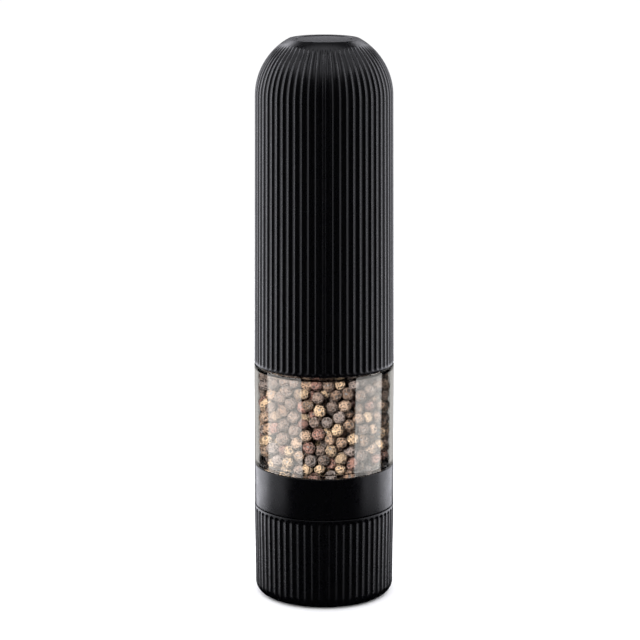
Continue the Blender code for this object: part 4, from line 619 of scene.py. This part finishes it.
def build_base_cap():
    """The fluted cup, from the flat underside up its side, over the rim and down the bore."""
    rim, low, top = rim_of("base_cap")
    foot = CAP_FOOT_FILLET
    fillet = arc_profile((CAP_FOOT_RADIUS - foot, foot), foot, -np.pi / 2, 0.0, CAP_FILLET_ROWS)
    middle = ((CAP_FOOT_RADIUS + rim) / 2, (foot + top) / 2)
    near_top = (rim, top - CAP_FINE_LENGTH)
    low_wall = straight(fillet[-1], middle, CAP_LOW_ROWS)
    middle_wall = straight(middle, near_top, CAP_MIDDLE_ROWS)
    fine_wall = straight(near_top, (rim, top - CAP_RIM_FILLET), CAP_FINE_ROWS)
    wall = np.concatenate([low_wall, middle_wall, fine_wall])
    outer = np.concatenate([[(0.0, low)], fillet, wall])
    inside = rounded(
        [
            (rim, top - 2 * CAP_RIM_FILLET, 0.0),
            (rim, top, CAP_RIM_FILLET),
            (CAP_BORE_RADIUS, top, CAP_RIM_FILLET),
            (CAP_BORE_RADIUS, CAP_FLOOR, CAP_RIM_FILLET),
            (0.0, CAP_FLOOR, 0.0),
        ]
    )[2:]
    profile = np.concatenate([outer, inside])
    flat = CAP_FOOT_RADIUS - foot
    start = flat + foot * math.acos(1 - CAP_FLUTE_LOW / foot) + CAP_FLUTE_FADE
    length = np.linalg.norm(np.diff(outer, axis=0), axis=1).sum()
    end = length - CAP_PLAIN_RIM - FLUTE_HALF_WIDTH
    reaches = (CAP_FLUTE_FADE, FLUTE_HALF_WIDTH)
    grid = fluted_grid(profile, len(outer), CAP_FLUTE_PHASE, start, end, *reaches)
    add_surface("base_cap_shell", grid, "black_plastic", "base", ("base_cap",))


def build_collar():
    """The smooth band with the spigot below it and the web that closes it."""
    rim, low, top = rim_of("grinder_collar")
    band_bottom = rim_of("base_cap")[2] + PIECE_GAP
    profile = rounded(
        [
            (rim, top, SOFT_EDGE),
            (rim, band_bottom, SOFT_EDGE),
            (COLLAR_SPIGOT_RADIUS, band_bottom, CREASE),
            (COLLAR_SPIGOT_RADIUS, low, MOULD_EDGE),
            (COLLAR_SPIGOT_BORE_RADIUS, low, MOULD_EDGE),
            (COLLAR_SPIGOT_BORE_RADIUS, WEB_LOW, FINE_EDGE),
            (FEED_HOLE_RADIUS, WEB_LOW, FINE_EDGE),
            (FEED_HOLE_RADIUS, WEB_HIGH, MOULD_EDGE),
            (HOPPER_RADIUS, WEB_HIGH, MOULD_EDGE),
            (HOPPER_RADIUS, TUBE_LEDGE_HEIGHT, FINE_EDGE),
            (TUBE_SEAT_RADIUS, TUBE_LEDGE_HEIGHT, CREASE),
            (TUBE_SEAT_RADIUS, top, FINE_EDGE),
        ],
        closed=True,
    )
    add_surface("collar_shell", turned_grid(profile), "black_plastic", "chamber", ("grinder_collar",), True)


def build_tube():
    """The clear chamber: flush with its neighbours, with a narrower spigot at each end."""
    rim, low, top = rim_of("chamber_tube")
    shoulder_low = rim_of("grinder_collar")[2] + PIECE_GAP
    shoulder_high = rim_of("top_casing")[1] - PIECE_GAP
    bore = rim - TUBE_WALL
    bore_low = shoulder_low + TUBE_WALL
    bore_high = shoulder_high - TUBE_WALL
    profile = rounded(
        [
            (TUBE_SPIGOT_RADIUS, top, FINE_EDGE),
            (TUBE_SPIGOT_RADIUS, shoulder_high, CREASE),
            (rim, shoulder_high, FINE_EDGE),
            (rim, shoulder_low, FINE_EDGE),
            (TUBE_SPIGOT_RADIUS, shoulder_low, CREASE),
            (TUBE_SPIGOT_RADIUS, low, FINE_EDGE),
            (TUBE_SPIGOT_BORE_RADIUS, low, FINE_EDGE),
            (TUBE_SPIGOT_BORE_RADIUS, bore_low, WINDOW_BORE_FILLET),
            (bore, bore_low, WINDOW_BORE_FILLET),
            (bore, bore_high, WINDOW_BORE_FILLET),
            (TUBE_SPIGOT_BORE_RADIUS, bore_high, WINDOW_BORE_FILLET),
            (TUBE_SPIGOT_BORE_RADIUS, top, FINE_EDGE),
        ],
        closed=True,
    )
    grid = turned_grid(profile)
    return add_surface("chamber_shell", grid, "clear_plastic", "chamber", ("chamber_tube",), True)


def build_button():
    """The round button: a slightly dished face, a flange below and a stem.

    The dish is a parabola: at share s of the radius it lies BUTTON_DISH (1 - s^2) below the top.
    """
    rim, low, top = rim_of("push_button")
    flange_top = top - BUTTON_FACE_THICKNESS
    flange_low = flange_top - BUTTON_FLANGE_THICKNESS
    share = np.linspace(0.0, BUTTON_DISH_SHARE, BUTTON_DISH_ROWS)[:, None]
    bowl = np.concatenate([BUTTON_RADIUS * share, top - BUTTON_DISH * (1 - share**2)], axis=1)
    side = rounded(
        [
            (*bowl[-1], 0.0),
            (BUTTON_RADIUS, top, SOFT_EDGE),
            (BUTTON_RADIUS, flange_top, CREASE),
            (rim, flange_top, FINE_EDGE),
            (rim, flange_low, FINE_EDGE),
            (BUTTON_STEM_RADIUS, flange_low, FINE_EDGE),
            (BUTTON_STEM_RADIUS, low, MOULD_EDGE),
            (0.0, low, 0.0),
        ]
    )[1:]
    grid = turned_grid(np.concatenate([bowl, side]))
    add_surface("button_cap", grid, "black_plastic", "button", ("push_button",))


# --- peppercorns ----------------------------------------------------------------------------------


def packed_corns(rng, low, high, inner, outer, neck, neck_low, neck_high):
    """Centres and sizes of corns that fill a ring-shaped space without sinking into each other.

    They start spread evenly by volume. In each round every pair that overlaps is pushed apart by
    part of its overlap, and each corn is then put back inside the walls. The outer wall is at outer
    between neck_low and neck_high, and at neck above and below.
    """
    sizes = rng.uniform(*CORN_SIZES, CORN_COUNT)
    angle = rng.uniform(0.0, 2 * np.pi, CORN_COUNT)
    reach = np.sqrt(rng.uniform(inner**2, outer**2, CORN_COUNT))
    height = rng.uniform(low, high, CORN_COUNT)
    centres = np.stack([reach * np.cos(angle), reach * np.sin(angle), height], axis=-1)
    touch = (sizes[:, None] + sizes[None, :]) / 2
    for _ in range(PACKING_ROUNDS):
        offset = centres[:, None] - centres[None, :]
        distance = np.linalg.norm(offset, axis=-1) + 1e-9
        overlap = np.maximum(0.0, touch - distance)
        np.fill_diagonal(overlap, 0.0)
        centres += PACKING_PUSH * (offset * (overlap / distance)[..., None]).sum(axis=1)
        centres[:, 2] = np.clip(centres[:, 2], low + sizes / 2, high - sizes / 2)
        wide = (centres[:, 2] > neck_low + sizes / 2) & (centres[:, 2] < neck_high - sizes / 2)
        wall = np.where(wide, outer, neck)
        reach = np.hypot(centres[:, 0], centres[:, 1]) + 1e-9
        kept = np.clip(reach, inner + sizes / 2, wall - sizes / 2)
        centres[:, :2] *= (kept / reach)[:, None]
    return centres, sizes


def corn_grids(rng, centres, sizes):
    """Lumpy balls, each flattened a little and turned its own way.

    The radius is R (1 + 0.05 sin(2a + p) sin b + 0.04 sin(3a + q) sin 2b) / 1.04, for the angle a
    around the ball and b from its pole. The phases p and q are each ball's own.
    """
    count = len(sizes)
    around = np.arange(CORN_COLUMNS) * 2 * np.pi / CORN_COLUMNS
    down = np.linspace(0.0, np.pi, CORN_ROWS)
    b, a = np.meshgrid(down, around, indexing="ij")
    p, q = rng.uniform(0.0, 2 * np.pi, (2, count, 1, 1))
    lump = 1 + 0.05 * np.sin(2 * a + p) * np.sin(b) + 0.04 * np.sin(3 * a + q) * np.sin(2 * b)
    radius = 0.5 * sizes[:, None, None] * lump / 1.04
    flat = radius * np.sin(b)
    ball = np.stack([flat * np.cos(a), flat * np.sin(a), radius * np.cos(b)], axis=-1)
    ball[..., 2] *= rng.uniform(*CORN_FLATNESS, (count, 1, 1))
    turn, _ = np.linalg.qr(rng.normal(size=(count, 3, 3)))
    turn *= np.sign(np.linalg.det(turn))[:, None, None]
    return np.einsum("nrci,nij->nrcj", ball, turn) + centres[:, None, None, :]


def build_peppercorns():
    """The corns as one piece, with a tint of their own stored on each corn's points."""
    rng = np.random.default_rng(CORN_SEED)
    outer, low, high = rim_of("peppercorn_fill")
    neck = TUBE_SPIGOT_BORE_RADIUS - PIECE_GAP
    neck_low = rim_of("grinder_collar")[2] + 2 * PIECE_GAP + TUBE_WALL
    neck_high = rim_of("top_casing")[1] - 2 * PIECE_GAP - TUBE_WALL
    centres, sizes = packed_corns(rng, low, high, CORN_CORE_RADIUS, outer, neck, neck_low, neck_high)
    grid = corn_grids(rng, centres, sizes)
    count, rows, columns = grid.shape[:3]
    index = np.arange(count * rows * columns).reshape(count, rows, columns)
    here, below = index[:, :-1], index[:, 1:]
    corners = (here, below, np.roll(below, -1, axis=2), np.roll(here, -1, axis=2))
    quads = np.stack(corners, axis=-1).reshape(-1, 4)
    tints = np.array(CORN_TINTS)[rng.choice(len(CORN_TINTS), count)]
    tints = tints * rng.uniform(*CORN_SHADES, (count, 1))
    colours = np.ones((count, rows * columns, 4), np.float32)
    colours[..., :3] = tints[:, None, :]
    mesh = bpy.data.meshes.new("peppercorns")
    mesh.from_pydata(grid.reshape(-1, 3).tolist(), [], quads.tolist())
    tint = mesh.color_attributes.new("corn_tint", "FLOAT_COLOR", "POINT")
    tint.data.foreach_set("color", colours.ravel())
    shape = bmesh.new()
    shape.from_mesh(mesh)
    bmesh.ops.remove_doubles(shape, verts=shape.verts, dist=WELD)
    bmesh.ops.recalc_face_normals(shape, faces=shape.faces)
    shape.to_mesh(mesh)
    shape.free()
    mesh.shade_smooth()
    return add_piece("peppercorns", mesh, "peppercorn", "chamber", ("peppercorn_fill",))


# --- inner works ----------------------------------------------------------------------------------


def softened_copy(node, finish, body):
    """A modelled piece with its triangles merged and its sharp edges eased by a small bevel."""
    mesh = frame["nodes"][node].data.copy()
    mesh.name = node + "_body"
    shape = bmesh.new()
    shape.from_mesh(mesh)
    bmesh.ops.remove_doubles(shape, verts=shape.verts, dist=WELD)
    bmesh.ops.dissolve_limit(
        shape, angle_limit=FLAT_ANGLE, verts=shape.verts, edges=shape.edges, delimit={"NORMAL"}
    )
    shape.to_mesh(mesh)
    shape.free()
    mesh.shade_smooth()
    mesh.set_sharp_from_angle(angle=SHARP_ANGLE)
    piece = add_piece(node + "_body", mesh, finish, body, (node,))
    edge = piece.modifiers.new("eased_edges", "BEVEL")
    edge.width = EASED_EDGE
    edge.segments = 2
    edge.limit_method = "ANGLE"
    edge.angle_limit = SHARP_ANGLE
    edge.harden_normals = True
    return piece


def finish_of_nodes():
    """Each node's material slot, from the record."""
    return {part["node"]: part["material_slot"] for part in frame["record"]["subparts"]}


def body_of_nodes():
    """The body that each node rides on, from the record."""
    bodies = frame["record"]["behaviour"]["bodies"]
    return {node: body for body, nodes in bodies.items() for node in nodes}


def build_inner_works():
    """A softened copy of each modelled piece that no shell has replaced."""
    finishes = finish_of_nodes()
    bodies = body_of_nodes()
    for node in frame["nodes"]:
        if node in SHELL_NODES:
            continue
        piece = softened_copy(node, finishes[node], bodies[node])
        if node == "button_spring":
            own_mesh(piece)


# --- stage ----------------------------------------------------------------------------------------

CAMERA_DISTANCE = 1.0
CAMERA_HEIGHT = 0.3315
CAMERA_TILT = math.radians(12.5)
CAMERA_LENS = 147.4
CAMERA_SHIFT = -0.0064
SENSOR_WIDTH = 36.0
CLIP_START = 0.05
FLOOR_HALF_WIDTH = 6.0
FLOOR_WHITE = (0.9, 0.9, 0.9, 1.0)
FLOOR_ROUGHNESS = 0.9
SKY_STRENGTH = 1.2
LIGHT_AIM = Vector((0.0, 0.0, 0.11))
COOL_WHITE = (0.93, 0.93, 1.0)
WARM_WHITE = (1.0, 0.97, 0.93)

# Each panel: name, azimuth in degrees from the front, distance, height, width, own height, watts
SHELL_PANELS = (
    ("left_back_panel", -128.0, 0.60, 0.225, 0.62, 0.90, 5.0),
    ("left_side_panel", -84.0, 0.60, 0.225, 0.46, 0.90, 1.1),
    ("right_back_panel", 128.0, 0.60, 0.225, 0.62, 0.90, 4.0),
    ("right_side_panel", 84.0, 0.60, 0.225, 0.46, 0.90, 1.0),
    ("top_panel", 0.0, 0.25, 1.1, 1.1, 1.1, 3.8),
    ("far_top_panel", 180.0, 1.2, 0.62, 1.0, 0.5, 1.0),
)
WINDOW_PANELS = (
    ("left_window_panel", -71.0, 0.60, 0.05, 0.80, 0.90, 7.0),
    ("right_window_panel", 80.0, 0.60, 0.05, 0.62, 0.90, 5.5),
    ("left_edge_panel", -153.0, 0.60, 0.05, 0.30, 0.90, 0.45),
    ("right_edge_panel", 153.0, 0.60, 0.05, 0.30, 0.90, 0.45),
)
CORN_PANELS = (("corn_panel", -25.0, 0.60, 0.40, 0.25, 0.25, 28.0),)


def add_floor():
    """A white sheet under the mill. The shells don't mirror it, and it doesn't show through the tube."""
    half = FLOOR_HALF_WIDTH
    corners = [(-half, -half, 0), (half, -half, 0), (half, half, 0), (-half, half, 0)]
    mesh = bpy.data.meshes.new("floor")
    mesh.from_pydata(corners, [], [(0, 1, 2, 3)])
    floor = bpy.data.objects.new("floor", mesh)
    bpy.context.scene.collection.objects.link(floor)
    material, _, shader = new_material("white_sheet")
    shader.inputs["Base Color"].default_value = FLOOR_WHITE
    shader.inputs["Roughness"].default_value = FLOOR_ROUGHNESS
    mesh.materials.append(material)
    floor.visible_glossy = False
    floor.visible_transmission = False


def add_panel(name, azimuth, distance, height, width, tall, watts, lit, colour):
    """A soft panel light that faces the mill and lights the pieces of one collection."""
    light = bpy.data.lights.new(name, "AREA")
    light.shape = "RECTANGLE"
    light.size = width
    light.size_y = tall
    light.energy = watts
    light.color = colour
    panel = bpy.data.objects.new(name, light)
    bpy.context.scene.collection.objects.link(panel)
    turn = math.radians(azimuth)
    place = Vector((distance * math.sin(turn), -distance * math.cos(turn), height))
    panel.location = place
    panel.rotation_euler = (LIGHT_AIM - place).to_track_quat("-Z", "Y").to_euler()
    panel.visible_camera = False
    panel.light_linking.receiver_collection = lit


def lit_pieces(name, pieces):
    """A collection that tells a light which pieces it reaches."""
    collection = bpy.data.collections.new(name)
    for piece in pieces:
        collection.objects.link(piece)
    return collection


def add_lights(chamber, corns):
    """Panels for the shells and what is beside the window, for the window, and for the corns."""
    others = [piece for piece in bpy.context.scene.objects if piece.type == "MESH" and piece != chamber]
    groups = (
        (SHELL_PANELS, lit_pieces("pieces_beside_window", others), COOL_WHITE),
        (WINDOW_PANELS, lit_pieces("window_pieces", [chamber]), WARM_WHITE),
        (CORN_PANELS, lit_pieces("seen_through_window", [corns]), WARM_WHITE),
    )
    for panels, lit, colour in groups:
        for panel in panels:
            add_panel(*panel, lit, colour)


def add_sky():
    """A white sky. The shells don't mirror it, and it doesn't show through the tube."""
    world = bpy.data.worlds.new("studio")
    world.use_nodes = True
    sky = world.node_tree.nodes["Background"]
    sky.inputs["Color"].default_value = (1.0, 1.0, 1.0, 1.0)
    sky.inputs["Strength"].default_value = SKY_STRENGTH
    world.cycles_visibility.glossy = False
    world.cycles_visibility.transmission = False
    bpy.context.scene.world = world


def add_camera():
    """The camera in front of the mill, a little above it and tilted down."""
    data = bpy.data.cameras.new("camera")
    data.lens = CAMERA_LENS
    data.sensor_width = SENSOR_WIDTH
    data.shift_x = CAMERA_SHIFT
    data.clip_start = CLIP_START
    camera = bpy.data.objects.new("camera", data)
    bpy.context.scene.collection.objects.link(camera)
    camera.location = (0.0, -CAMERA_DISTANCE, CAMERA_HEIGHT)
    camera.rotation_euler = (math.pi / 2 - CAMERA_TILT, 0.0, 0.0)
    bpy.context.scene.camera = camera


build_casing()
build_base_cap()
build_collar()
chamber = build_tube()
build_button()
corns = build_peppercorns()
build_inner_works()
add_floor()
add_lights(chamber, corns)
add_sky()
add_camera()
bpy.context.scene.view_settings.view_transform = "Standard"
